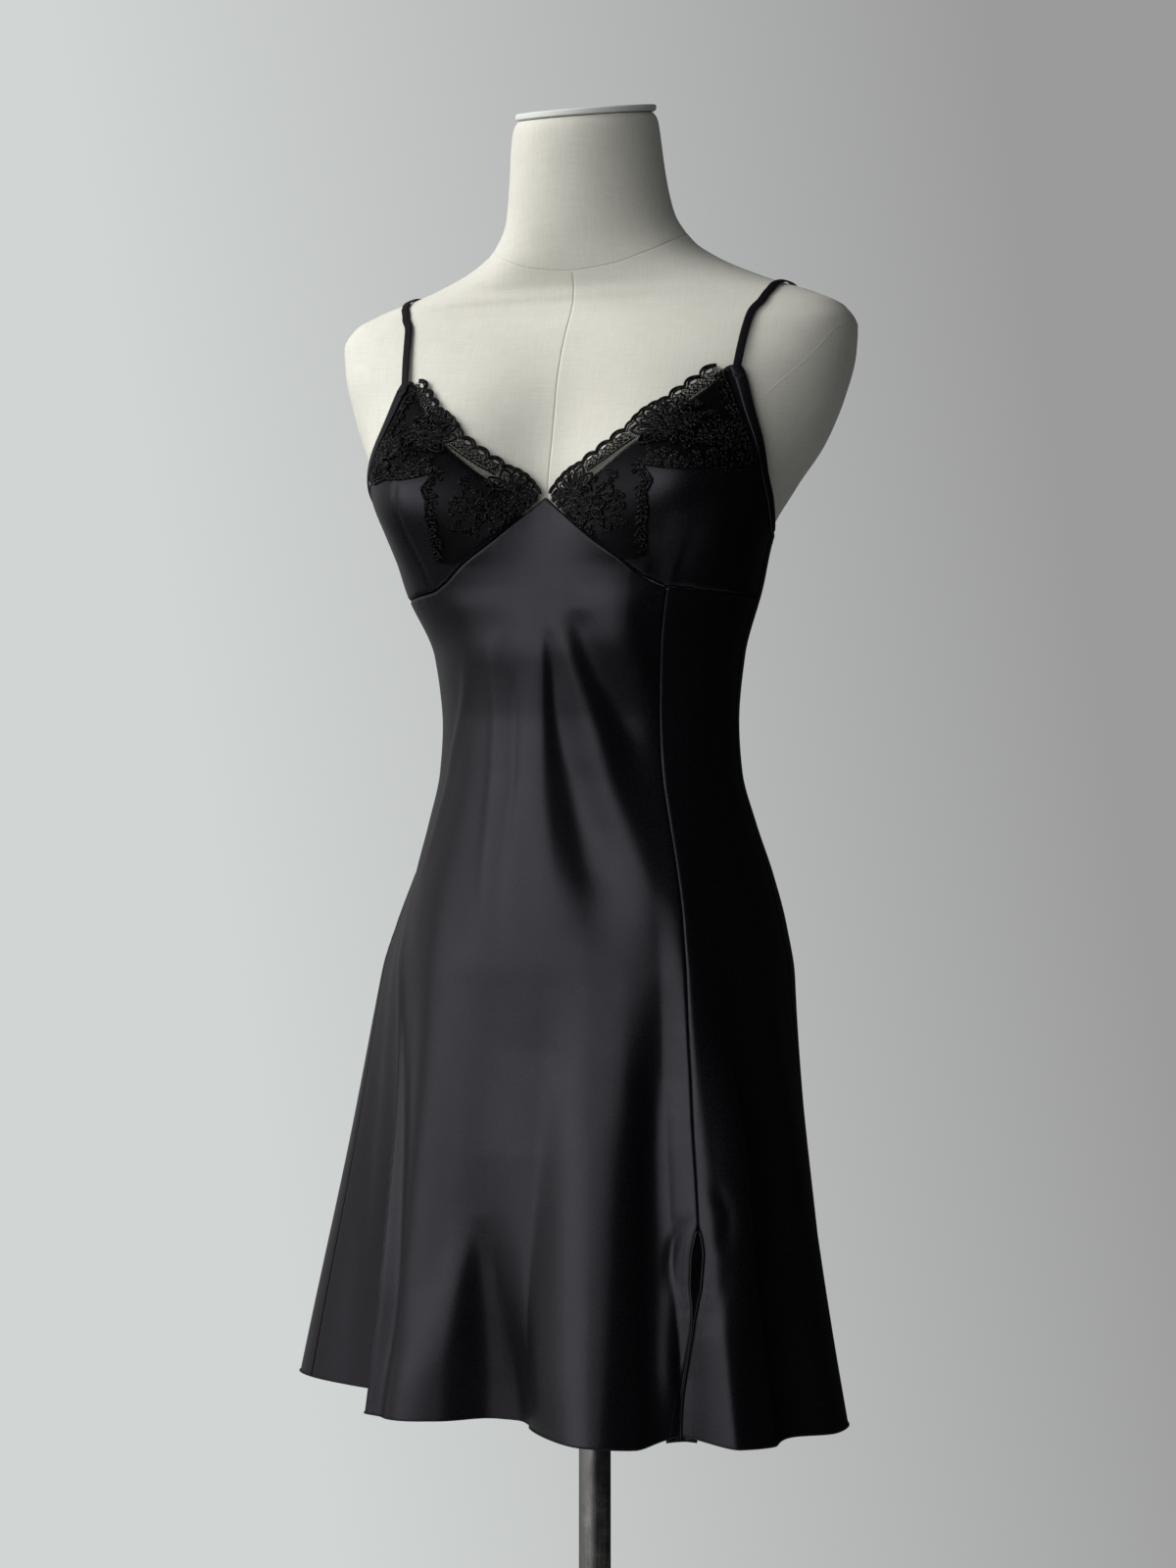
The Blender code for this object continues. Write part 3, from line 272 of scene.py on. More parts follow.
satinFolds = creases(
    [  # the trough that widens from below the point between the cups
        (0.850, 24.5, 0.015, 0.016, 0.0), (0.892, 22.5, 0.014, 0.017, -0.0040),
        (0.921, 19.5, 0.0135, 0.017, -0.0075), (0.950, 16.5, 0.0125, 0.015, -0.0086),
        (0.980, 13.0, 0.0105, 0.0130, -0.0074), (1.009, 8.6, 0.0075, 0.0120, -0.0054),
        (1.039, 5.2, 0.0050, 0.0100, -0.0038), (1.068, 4.4, 0.0038, 0.0070, -0.0028),
        (1.086, 3.6, 0.0036, 0.0060, -0.0014), (1.098, 3.0, 0.0040, 0.0060, 0.0),
    ],
    [  # its near edge
        (0.900, 5.5, 0.010, 0.006, 0.0), (0.921, 4.0, 0.010, 0.006, 0.0006),
        (0.950, 1.0, 0.010, 0.006, 0.0012), (0.980, -0.8, 0.010, 0.0055, 0.0014),
        (1.039, -1.8, 0.009, 0.0045, 0.0012), (1.068, -1.2, 0.009, 0.0045, 0.0008),
        (1.090, -1.0, 0.009, 0.005, 0.0),
    ],
    [  # its far edge, a ridge that slants to the left hip
        (0.870, 45.0, 0.014, 0.010, 0.0), (0.891, 42.4, 0.014, 0.010, 0.0010),
        (0.921, 38.0, 0.014, 0.011, 0.0022), (0.950, 33.4, 0.0135, 0.012, 0.0030),
        (0.979, 28.9, 0.012, 0.011, 0.0034), (1.009, 25.2, 0.0115, 0.010, 0.0034),
        (1.039, 19.2, 0.0105, 0.009, 0.0028), (1.068, 13.5, 0.0075, 0.007, 0.0018),
        (1.092, 11.0, 0.007, 0.007, 0.0008), (1.108, 9.5, 0.007, 0.007, 0.0),
    ],
    [  # the furrow beyond it
        (0.975, 42.0, 0.010, 0.008, 0.0), (1.008, 37.5, 0.009, 0.009, -0.0018),
        (1.042, 30.0, 0.0085, 0.010, -0.0034), (1.073, 21.5, 0.0070, 0.010, -0.0036),
        (1.096, 17.0, 0.0065, 0.009, -0.0024), (1.112, 15.0, 0.007, 0.009, 0.0),
    ],
    [  # a low ridge from under the left cup to the seam at the waist
        (1.000, 48.5, 0.007, 0.004, 0.0), (1.015, 48.0, 0.008, 0.004, 0.0010),
        (1.040, 46.0, 0.009, 0.005, 0.0022), (1.066, 41.8, 0.011, 0.006, 0.0034),
        (1.093, 37.0, 0.013, 0.008, 0.0032), (1.120, 33.0, 0.014, 0.010, 0.0010),
        (1.140, 30.0, 0.014, 0.010, 0.0),
    ],
    [  # the cloth carried straight down from the cups, clear of the ribs
        (1.030, 30.0, 0.030, 0.026, 0.0), (1.060, 32.0, 0.032, 0.028, 0.0022),
        (1.090, 34.0, 0.034, 0.028, 0.0044), (1.112, 34.5, 0.034, 0.026, 0.0040),
        (1.130, 35.0, 0.032, 0.024, 0.0016), (1.145, 35.0, 0.030, 0.022, 0.0),
    ],
    [  # the same below the right cup
        (1.030, -30.0, 0.026, 0.030, 0.0), (1.060, -32.0, 0.028, 0.032, 0.0018),
        (1.090, -34.0, 0.028, 0.034, 0.0036), (1.112, -34.5, 0.026, 0.034, 0.0034),
        (1.130, -35.0, 0.024, 0.032, 0.0014), (1.145, -35.0, 0.022, 0.030, 0.0),
    ],
    [  # the cloth drawn flat over the left hip, up to its seam
        (0.760, 46.5, 0.022, 0.012, 0.0), (0.800, 47.0, 0.024, 0.013, 0.0030),
        (0.840, 47.5, 0.024, 0.014, 0.0058), (0.880, 48.0, 0.024, 0.014, 0.0062),
        (0.920, 48.5, 0.022, 0.013, 0.0042), (0.960, 49.0, 0.020, 0.012, 0.0018),
        (1.000, 49.5, 0.018, 0.012, 0.0),
    ],
    [  # the front let down evenly from the cups to the waist
        (0.945, 0.0, 0.060, 0.060, 0.0), (0.975, 0.0, 0.060, 0.060, 0.0009),
        (1.010, 0.0, 0.060, 0.060, 0.0021), (1.045, 0.0, 0.060, 0.060, 0.0030),
        (1.075, 0.0, 0.058, 0.060, 0.0030), (1.102, 0.0, 0.055, 0.055, 0.0017),
        (1.130, 0.0, 0.050, 0.050, 0.0),
    ],
    [  # soft lines over the front of the waist
        (0.860, -22.0, 0.006, 0.006, 0.0), (0.920, -24.8, 0.005, 0.005, 0.0009),
        (1.010, -26.6, 0.004, 0.005, 0.0012), (1.069, -25.6, 0.004, 0.005, 0.0010),
        (1.100, -24.0, 0.005, 0.006, 0.0),
    ],
    [  # a shallow furrow beside them
        (0.840, -14.0, 0.007, 0.007, 0.0), (0.920, -16.9, 0.005, 0.005, -0.0010),
        (0.980, -16.0, 0.004, 0.004, -0.0013), (1.039, -16.3, 0.004, 0.004, -0.0010),
        (1.070, -16.3, 0.004, 0.004, 0.0),
    ],
    [  # a fine ridge up the right side of the waist
        (0.900, -62.0, 0.004, 0.006, 0.0), (0.935, -59.4, 0.0035, 0.006, 0.0008),
        (1.000, -55.2, 0.003, 0.006, 0.0012), (1.055, -43.5, 0.003, 0.006, 0.0008),
        (1.080, -40.0, 0.004, 0.006, 0.0),
    ],
    [  # the long fold down to the step in the hem
        (0.496, -49.5, 0.010, 0.0045, 0.0130), (0.582, -49.0, 0.010, 0.0042, 0.0120),
        (0.679, -53.0, 0.010, 0.0040, 0.0096), (0.755, -60.5, 0.011, 0.0042, 0.0066),
        (0.850, -68.5, 0.010, 0.007, 0.0026), (0.910, -72.0, 0.010, 0.008, 0.0),
    ],
    [  # the furrow behind it
        (0.496, -56.5, 0.007, 0.006, -0.0085), (0.582, -57.0, 0.007, 0.006, -0.0060),
        (0.679, -60.0, 0.007, 0.006, -0.0034), (0.790, -66.0, 0.008, 0.006, -0.0016),
        (0.850, -72.0, 0.008, 0.006, 0.0),
    ],
    [  # the wedge that opens towards the hem: its far side
        (0.496, -9.0, 0.024, 0.014, -0.0170), (0.525, -9.5, 0.023, 0.017, -0.0148),
        (0.568, -11.5, 0.019, 0.020, -0.0096), (0.611, -12.5, 0.018, 0.024, -0.0052),
        (0.655, -14.0, 0.024, 0.030, -0.0020), (0.700, -14.0, 0.028, 0.034, 0.0),
    ],
    [  # its narrow top
        (0.540, -19.0, 0.010, 0.009, 0.0), (0.580, -18.0, 0.010, 0.009, -0.0014),
        (0.611, -19.0, 0.009, 0.008, -0.0020), (0.634, -20.5, 0.007, 0.007, -0.0012),
        (0.655, -21.5, 0.007, 0.008, 0.0),
    ],
    [  # and its near edge
        (0.496, -37.5, 0.022, 0.014, 0.0052), (0.522, -36.0, 0.021, 0.014, 0.0050),
        (0.566, -31.0, 0.016, 0.013, 0.0036), (0.610, -26.6, 0.010, 0.008, 0.0020),
        (0.636, -24.5, 0.008, 0.006, 0.0010), (0.660, -23.5, 0.008, 0.006, 0.0),
    ],
    [  # the front filled out beside it
        (0.496, 4.5, 0.010, 0.020, 0.0080), (0.540, 4.0, 0.014, 0.021, 0.0095),
        (0.580, 2.0, 0.020, 0.022, 0.0095), (0.620, 1.0, 0.024, 0.024, 0.0080),
        (0.660, 1.0, 0.026, 0.026, 0.0060), (0.720, 2.0, 0.026, 0.028, 0.0030),
        (0.780, 3.0, 0.026, 0.028, 0.0),
    ],
    [  # the deep shaded fold left of the centre
        (0.496, 34.0, 0.013, 0.011, -0.0040), (0.537, 34.4, 0.0130, 0.011, -0.0042),
        (0.578, 35.4, 0.0125, 0.011, -0.0044), (0.662, 37.0, 0.0115, 0.010, -0.0044),
        (0.704, 38.0, 0.0100, 0.009, -0.0036), (0.747, 39.0, 0.008, 0.008, -0.0020),
        (0.780, 39.0, 0.008, 0.008, -0.0002), (0.800, 39.0, 0.008, 0.008, 0.0),
    ],
    [  # and the rounded ridge before it
        (0.496, 22.0, 0.024, 0.0105, 0.0036), (0.540, 23.4, 0.024, 0.011, 0.0038),
        (0.620, 25.2, 0.022, 0.0125, 0.0038), (0.705, 28.0, 0.020, 0.013, 0.0034),
        (0.748, 31.5, 0.018, 0.012, 0.0030), (0.800, 36.0, 0.018, 0.012, 0.0016),
        (0.840, 38.0, 0.016, 0.012, 0.0),
    ],
    [  # the ridge beside the slit, on the front panel
        (0.500, 40.5, 0.006, 0.008, 0.0016), (0.545, 39.5, 0.0055, 0.008, 0.0062),
        (0.600, 41.0, 0.006, 0.008, 0.0040),
        (0.655, 43.5, 0.009, 0.008, 0.0030), (0.704, 44.0, 0.009, 0.008, 0.0030),
        (0.747, 45.0, 0.009, 0.008, 0.0022), (0.790, 46.0, 0.009, 0.008, 0.0008),
        (0.820, 46.0, 0.009, 0.008, 0.0),
    ],
    [  # a pulled wrinkle from the slit's top, on the front panel
        (0.600, 41.6, 0.004, 0.004, 0.0), (0.622, 41.4, 0.003, 0.003, -0.0016),
        (0.640, 42.6, 0.0028, 0.003, -0.0020), (0.652, 44.6, 0.0028, 0.003, -0.0010),
        (0.660, 45.4, 0.003, 0.003, 0.0),
    ],
    [  # the panel's rounded ridge on the other side of the slit
        (0.496, 49.5, 0.012, 0.010, 0.0010), (0.540, 51.0, 0.013, 0.010, 0.0036),
        (0.580, 52.6, 0.015, 0.010, 0.0070), (0.620, 54.2, 0.016, 0.010, 0.0104),
        (0.660, 55.4, 0.017, 0.010, 0.0128), (0.704, 56.2, 0.017, 0.010, 0.0126),
        (0.747, 55.6, 0.016, 0.010, 0.0094), (0.790, 54.0, 0.013, 0.009, 0.0048),
        (0.830, 52.5, 0.010, 0.009, 0.0014), (0.860, 51.5, 0.010, 0.009, 0.0),
    ],
    [  # a short pucker beside the slit's top
        (0.632, 50.8, 0.004, 0.004, 0.0), (0.645, 51.2, 0.003, 0.004, -0.0018),
        (0.662, 51.8, 0.003, 0.004, -0.0024), (0.678, 50.6, 0.003, 0.004, -0.0014),
        (0.690, 49.6, 0.004, 0.004, 0.0),
    ],
    [  # a second, shallower one below it
        (0.575, 47.6, 0.003, 0.004, 0.0), (0.592, 48.6, 0.0025, 0.003, -0.0008),
        (0.612, 49.8, 0.0025, 0.003, -0.0010), (0.628, 50.2, 0.003, 0.003, 0.0),
    ],
    [  # the shaded fold behind that ridge
        (0.496, 62.5, 0.011, 0.014, -0.0050), (0.600, 64.5, 0.011, 0.013, -0.0040),
        (0.700, 67.5, 0.011, 0.012, -0.0024), (0.800, 71.0, 0.012, 0.012, 0.0),
    ],
    [  # folds at the left side
        (0.496, 93.0, 0.016, 0.016, -0.0050), (0.640, 92.0, 0.014, 0.014, -0.0034),
        (0.790, 90.0, 0.012, 0.012, 0.0),
    ],
    [  # a drag line up the left side
        (0.860, 84.0, 0.008, 0.010, 0.0), (0.930, 80.0, 0.007, 0.010, -0.0014),
        (1.010, 78.0, 0.006, 0.010, -0.0022), (1.060, 80.0, 0.008, 0.010, 0.0),
    ],
    [  # the back's folds, deepest below the waist
        (0.496, 122.0, 0.016, 0.018, 0.0060), (0.620, 122.0, 0.014, 0.016, 0.0036),
        (0.760, 124.0, 0.014, 0.014, 0.0),
    ],
    [  # left of the centre back
        (0.496, 158.0, 0.012, 0.014, -0.0070), (0.640, 157.0, 0.011, 0.012, -0.0048),
        (0.780, 155.0, 0.010, 0.010, -0.0020), (0.850, 154.0, 0.010, 0.010, 0.0),
    ],
    [  # right of the centre back
        (0.496, -158.0, 0.014, 0.012, -0.0060), (0.660, -157.0, 0.012, 0.011, -0.0040),
        (0.820, -156.0, 0.010, 0.010, 0.0),
    ],
    [  # the hollow between two of them
        (0.496, 136.0, 0.010, 0.012, -0.0050), (0.640, 137.0, 0.010, 0.011, -0.0030),
        (0.760, 138.0, 0.010, 0.010, 0.0),
    ],
    [  # behind the right side seam
        (0.496, -124.0, 0.014, 0.014, -0.0050), (0.640, -122.0, 0.012, 0.012, -0.0034),
        (0.780, -120.0, 0.010, 0.010, 0.0),
    ],
    [  # soft drag lines in the small of the back
        (0.900, 166.0, 0.010, 0.010, 0.0), (0.960, 168.0, 0.008, 0.009, 0.0016),
        (1.020, 164.0, 0.007, 0.009, 0.0026), (1.080, 156.0, 0.008, 0.010, 0.0012),
        (1.110, 152.0, 0.008, 0.010, 0.0),
    ],
    [  # the right one
        (0.900, -170.0, 0.010, 0.010, 0.0), (0.970, -166.0, 0.009, 0.008, 0.0018),
        (1.030, -160.0, 0.009, 0.007, 0.0024), (1.090, -150.0, 0.010, 0.008, 0.0),
    ],
    [  # the hollow beside the left one
        (0.930, 128.0, 0.010, 0.010, 0.0), (1.000, 132.0, 0.008, 0.008, -0.0014),
        (1.060, 138.0, 0.008, 0.008, -0.0012), (1.110, 144.0, 0.008, 0.008, 0.0),
    ],
    [  # the right side, over the hip
        (0.496, -84.0, 0.012, 0.012, -0.0040), (0.640, -86.0, 0.012, 0.012, -0.0026),
        (0.800, -88.0, 0.012, 0.012, 0.0),
    ],
    [  # and over the waist
        (0.930, -84.0, 0.010, 0.008, 0.0), (0.990, -80.0, 0.010, 0.007, -0.0012),
        (1.050, -74.0, 0.010, 0.008, 0.0),
    ],
)
cupFolds = creases(
    [  # the left cup's gathers, from its lowest point upwards
        (1.124, 43.5, 0.004, 0.004, -0.0006), (1.132, 42.6, 0.0028, 0.0032, -0.0022),
        (1.145, 41.6, 0.0030, 0.0040, -0.0026), (1.166, 41.4, 0.004, 0.005, 0.0),
    ],
    [  # the second gather
        (1.126, 46.4, 0.003, 0.003, -0.0010), (1.138, 45.0, 0.0028, 0.0032, -0.0026),
        (1.158, 44.0, 0.0034, 0.0044, -0.0024), (1.182, 43.6, 0.005, 0.006, 0.0),
    ],
    [  # the ridge beside it
        (1.126, 47.8, 0.003, 0.003, 0.0010), (1.142, 47.4, 0.0034, 0.0036, 0.0016),
        (1.165, 46.8, 0.005, 0.005, 0.0012), (1.190, 46.6, 0.007, 0.007, 0.0),
    ],
    [  # the third gather
        (1.126, 50.0, 0.003, 0.003, -0.0006), (1.140, 51.0, 0.0032, 0.0034, -0.0014),
        (1.156, 52.0, 0.004, 0.005, -0.0008), (1.172, 53.0, 0.005, 0.006, 0.0),
    ],
    [  # the soft line down from the strap
        (1.150, 66.0, 0.004, 0.005, 0.0), (1.180, 66.5, 0.003, 0.005, 0.0010),
        (1.215, 64.5, 0.003, 0.005, 0.0008), (1.240, 63.0, 0.004, 0.005, 0.0),
    ],
)
rightCupFolds = creases(
    [  # the right cup's dart
        (1.120, -48.0, 0.0012, 0.0012, -0.0012), (1.153, -46.8, 0.0011, 0.0011, -0.0014),
        (1.185, -45.4, 0.0011, 0.0011, -0.0013), (1.2075, -44.4, 0.0011, 0.0011, -0.0006),
        (1.214, -44.2, 0.0012, 0.0012, 0.0),
    ],
    [  # and the cloth it pulls in beside it
        (1.130, -40.0, 0.010, 0.010, 0.0), (1.160, -40.0, 0.009, 0.008, 0.0014),
        (1.200, -40.5, 0.009, 0.008, 0.0008), (1.225, -41.0, 0.010, 0.010, 0.0),
    ],
    [  # the soft line down from its strap
        (1.150, -66.0, 0.005, 0.004, 0.0), (1.180, -66.5, 0.005, 0.003, 0.0010),
        (1.215, -64.5, 0.005, 0.003, 0.0008), (1.240, -63.0, 0.005, 0.004, 0.0),
    ],
)


def foldsOut(folds, azimuth, height):  # what the creases add, outwards
    out = np.zeros(np.broadcast(azimuth, height).shape)
    arc = np.radians(1) * clothRadius(azimuth, height)
    for rows in folds:
        middle, toRight, toLeft, depth = (
            smoothly(rows, "height", column, height) for column in ("azimuth", "toRight", "toLeft", "out")
        )
        away = turned(azimuth - middle) * arc
        out = out + depth * bell(away / np.where(away < 0, toRight, toLeft))
    return out


def unevenness(azimuth, height):  # the slight waviness of hanging satin
    a, h = np.radians(azimuth), height
    wave = np.sin(5 * a + 9 * h) * np.sin(17 * h + 2 * a) + 0.6 * np.sin(11 * a - 23 * h + 1.3)
    return 0.00035 * wave


def satinOut(azimuth, height, folds):
    out = foldsOut(folds, azimuth, height) + unevenness(azimuth, height)
    room = easeAt(azimuth, np.maximum(height, dressShape["hip"])) - dressShape["clear"]
    free = ramp((0.80 - height) / 0.03) * 0.05  # below the form's hip there is nothing to touch
    return np.maximum(out, -(room + free))


def creased(azimuth, height, folds, lift):
    out = np.asarray(satinOut(azimuth, height, folds) + lift)
    return clothPoint(azimuth, height) + normalOf(clothPoint, azimuth, height) * out[..., None]


def skirtPoint(azimuth, height, lift=0.0):
    return creased(azimuth, height, satinFolds, lift)


def cupPoint(azimuth, height, lift=0.0):
    return creased(azimuth, height, cupFolds + rightCupFolds, lift)


def linked(name, data):
    made = bpy.data.objects.new(name, data)
    bpy.context.scene.collection.objects.link(made)
    return made


def addPiece(name, points, faces, finish, uv=None):
    mesh = bpy.data.meshes.new(name)
    if isinstance(faces, np.ndarray):
        faces = faces.tolist()
    mesh.from_pydata(np.asarray(points).reshape(-1, 3).tolist(), [], faces)
    mesh.materials.append(finish)
    mesh.shade_smooth()
    if uv is not None:
        layer = mesh.uv_layers.new(name="cloth")
        corners = np.zeros(len(mesh.loops), np.int32)
        mesh.loops.foreach_get("vertex_index", corners)
        layer.data.foreach_set("uv", np.asarray(uv, np.float32).reshape(-1, 2)[corners].ravel())
    mesh.update()
    return linked(name, mesh)


def settle(piece):  # turns the live modifiers into plain mesh
    bpy.context.view_layer.update()
    graph = bpy.context.evaluated_depsgraph_get()
    worked = piece.evaluated_get(graph)
    mesh = bpy.data.meshes.new_from_object(worked, preserve_all_data_layers=True, depsgraph=graph)
    piece.modifiers.clear()
    piece.data = mesh
    return piece


def thicken(piece, thickness):
    wall = piece.modifiers.new("wall", "SOLIDIFY")
    wall.thickness = thickness
    wall.offset = -1
    return settle(piece)


def gridFaces(columns, rows):
    corner = (np.arange(rows)[:, None] * (columns + 1) + np.arange(columns)).ravel()
    return np.stack([corner, corner + 1, corner + columns + 2, corner + columns + 1], 1)


def lengthsAlong(points, axis):  # running lengths of a grid's lines, from their middle
    steps = np.linalg.norm(np.diff(points, axis=axis), axis=-1)
    run = np.concatenate([np.zeros_like(np.take(steps, [0], axis)), np.cumsum(steps, axis)], axis)
    return run - np.take(run, [run.shape[axis] // 2], axis)


def clothUv(points):  # the flat cloth under a grid of points, in metres
    return np.stack([lengthsAlong(points, 1), lengthsAlong(points, 0)], -1)


# Looks shared by more than one finish, as shader node groups

def nodeGroup(name, inputs, outputs):
    group = bpy.data.node_groups.new(name, "ShaderNodeTree")
    for socketName, kind, value in inputs:
        socket = group.interface.new_socket(name=socketName, in_out="INPUT", socket_type=kind)
        if value is not None:
            socket.default_value = value
    for socketName, kind in outputs:
        group.interface.new_socket(name=socketName, in_out="OUTPUT", socket_type=kind)
    return group, group.nodes.new("NodeGroupInput"), group.nodes.new("NodeGroupOutput")


def addNode(tree, kind, inputs=None, **settings):  # each input is a plain value or another node's socket
    node = tree.nodes.new(kind)
    for key, value in settings.items():
        setattr(node, key, value)
    for key, value in (inputs or {}).items():
        if isinstance(value, bpy.types.NodeSocket):
            tree.links.new(value, node.inputs[key])
        else:
            node.inputs[key].default_value = value
    return node


def mathNode(tree, operation, *values, clamp=False):
    inputs = dict(enumerate(values))
    return addNode(tree, "ShaderNodeMath", inputs, operation=operation, use_clamp=clamp).outputs[0]


def mapRange(tree, value, low, high, toLow, toHigh):
    inputs = dict(enumerate((value, low, high, toLow, toHigh)))
    return addNode(tree, "ShaderNodeMapRange", inputs).outputs[0]


def noiseNode(tree, vector, scale, detail=2.0, roughness=0.5):
    inputs = {"Vector": vector, "Scale": scale, "Detail": detail, "Roughness": roughness}
    return addNode(tree, "ShaderNodeTexNoise", inputs).outputs["Fac"]


def stretched(tree, vector, scale):
    inputs = {0: vector, 1: scale}
    return addNode(tree, "ShaderNodeVectorMath", inputs, operation="MULTIPLY").outputs[0]


def threadGroup():  # crossed threads on the piece's own cloth map, in metres
    group, into, out = nodeGroup(
        "crossedThreads",
        [("Vector", "NodeSocketVector", None), ("Across per metre", "NodeSocketFloat", 900.0),
         ("Along per metre", "NodeSocketFloat", 900.0), ("Slub", "NodeSocketFloat", 0.3)],
        [("Height", "NodeSocketFloat"), ("Slubs", "NodeSocketFloat")],
    )
    split = addNode(group, "ShaderNodeSeparateXYZ", {0: into.outputs["Vector"]})
    waves = []
    for axis, count in (("X", "Across per metre"), ("Y", "Along per metre")):
        turns = mathNode(group, "MULTIPLY", split.outputs[axis], into.outputs[count])
        waves.append(mathNode(group, "SINE", mathNode(group, "MULTIPLY", turns, 2 * math.pi)))
    weave = mathNode(group, "MULTIPLY", waves[0], waves[1])
    slubs = [
        noiseNode(group, stretched(group, into.outputs["Vector"], scale), 1.0, 2.0, 0.6)
        for scale in ((40.0, 900.0, 1.0), (900.0, 40.0, 1.0))
    ]
    slub = mathNode(group, "SUBTRACT", mathNode(group, "ADD", slubs[0], slubs[1]), 1.0)
    rise = mathNode(group, "ADD", weave, mathNode(group, "MULTIPLY", slub, into.outputs["Slub"]))
    group.links.new(rise, out.inputs["Height"])
    group.links.new(mathNode(group, "ADD", slub, 0.5, clamp=True), out.inputs["Slubs"])
    return group


def netGroup():  # an even fine net of three thread directions, on the piece's own cloth map
    group, into, out = nodeGroup(
        "fineNet",
        [("Vector", "NodeSocketVector", None), ("Cells per metre", "NodeSocketFloat", 700.0),
         ("Thread share", "NodeSocketFloat", 0.3)],
        [("Thread", "NodeSocketFloat")],
    )
    split = addNode(group, "ShaderNodeSeparateXYZ", {0: into.outputs["Vector"]})
    half = mathNode(group, "MULTIPLY", into.outputs["Thread share"], 0.5)
    thread = None
    for turn in (90, 30, -30):
        across = mathNode(group, "MULTIPLY", split.outputs["X"], math.cos(math.radians(turn)))
        up = mathNode(group, "MULTIPLY", split.outputs["Y"], math.sin(math.radians(turn)))
        run = mathNode(group, "ADD", across, up)
        cells = mathNode(group, "MULTIPLY", run, into.outputs["Cells per metre"])
        away = mathNode(group, "SUBTRACT", mathNode(group, "FRACT", cells), 0.5)
        near = mathNode(group, "LESS_THAN", mathNode(group, "ABSOLUTE", away), half)
        thread = near if thread is None else mathNode(group, "MAXIMUM", thread, near)
    group.links.new(thread, out.inputs["Thread"])
    return group


crossedThreads = threadGroup()
fineNet = netGroup()


def material(name, colour, roughness, metallic=0.0, specular=0.5, sheen=0.0, sheenTint=(1, 1, 1)):
    made = bpy.data.materials.new(name)
    made.use_nodes = True
    shader = made.node_tree.nodes["Principled BSDF"]
    shader.inputs["Base Color"].default_value = (*colour, 1)
    shader.inputs["Roughness"].default_value = roughness
    shader.inputs["Metallic"].default_value = metallic
    shader.inputs["Specular IOR Level"].default_value = specular
    shader.inputs["Sheen Weight"].default_value = sheen
    shader.inputs["Sheen Roughness"].default_value = 0.4
    shader.inputs["Sheen Tint"].default_value = (*sheenTint, 1)
    made.diffuse_color = (*colour, 1)
    return made, made.node_tree, shader


def clothMap(tree):
    return addNode(tree, "ShaderNodeUVMap", uv_map="cloth").outputs[0]


def objectPlace(tree):
    return tree.nodes.new("ShaderNodeTexCoord").outputs["Object"]


def place(tree, group, vector, **values):
    inputs = {"Vector": vector, **{key.replace("_", " "): value for key, value in values.items()}}
    return addNode(tree, "ShaderNodeGroup", inputs, node_tree=group)


def colourBetween(tree, share, first, second):
    inputs = {"Factor": share, "A": (*first, 1), "B": (*second, 1)}
    return addNode(tree, "ShaderNodeMix", inputs, data_type="RGBA").outputs["Result"]


def bump(tree, shader, height, strength, distance):
    inputs = {"Height": height, "Strength": strength, "Distance": distance}
    tree.links.new(addNode(tree, "ShaderNodeBump", inputs).outputs[0], shader.inputs["Normal"])


def vary(tree, shader, share, colours, worn, roughness, span=(0.3, 0.7)):  # over the surface
    tree.links.new(colourBetween(tree, share, *colours), shader.inputs["Base Color"])
    tree.links.new(mapRange(tree, worn, *span, *roughness), shader.inputs["Roughness"])


satinLook = {
    "lit": (0.0120, 0.0112, 0.0140), "deep": (0.0006, 0.0005, 0.0010), "roughness": (0.27, 0.33),
    "specular": 0.325, "tint": (0.88, 0.85, 1.0), "threads": 1900.0, "bump": 0.00003,
    "grain": 620.0, "mottle": 55.0,
}


def makeSatin(name, look):
    made, tree, shader = material(name, look["lit"], look["roughness"][0], specular=look["specular"])
    shader.inputs["Specular Tint"].default_value = (*look["tint"], 1)
    cloth = clothMap(tree)
    threads = place(tree, crossedThreads, cloth, Across_per_metre=look["threads"] * 0.7,
                    Along_per_metre=look["threads"], Slub=0.5)
    mottle = noiseNode(tree, cloth, look["mottle"], 4.0, 0.6)
    grain = mapRange(tree, noiseNode(tree, cloth, look["grain"], 3.0, 0.6), 0.32, 0.68, 0, 1)
    vary(tree, shader, grain, (look["deep"], look["lit"]), mottle, look["roughness"])
    bump(tree, shader, threads.outputs["Height"], 0.5, look["bump"])
    return made


# The cords' glints are painted highlights: bright spots put into the cords' base colour by noise.
laceLook = {
    "thread": (0.0004, 0.0004, 0.0005), "paintedGlint": (0.105, 0.105, 0.112), "paintedGlints": (0.54, 0.70),
    "roughness": (0.24, 0.46), "spots": 900.0, "cordShine": 0.10,
    "cells": 760.0, "netThread": 0.17, "netRoughness": (0.5, 0.7), "netShine": 0.06,
}


def makeLaceCord():
    made, tree, shader = material("laceCord", laceLook["thread"], 0.4, specular=laceLook["cordShine"])
    spots = noiseNode(tree, objectPlace(tree), laceLook["spots"], 3.0, 0.6)
    # painted highlight: bright spots in the base colour, placed by noise
    paintedGlints = mapRange(tree, spots, *laceLook["paintedGlints"], 0, 1)
    vary(tree, shader, paintedGlints, (laceLook["thread"], laceLook["paintedGlint"]), spots, laceLook["roughness"])
    bump(tree, shader, spots, 0.6, 0.0002)
    return made


def makeNet():
    made, tree, shader = material("fineNetting", laceLook["thread"], 0.6, specular=laceLook["netShine"])
    net = place(tree, fineNet, clothMap(tree), Cells_per_metre=laceLook["cells"],
                Thread_share=laceLook["netThread"])
    tree.links.new(net.outputs["Thread"], shader.inputs["Alpha"])
    worn = mapRange(tree, noiseNode(tree, clothMap(tree), 300.0), 0.3, 0.7, *laceLook["netRoughness"])
    tree.links.new(worn, shader.inputs["Roughness"])
    return made


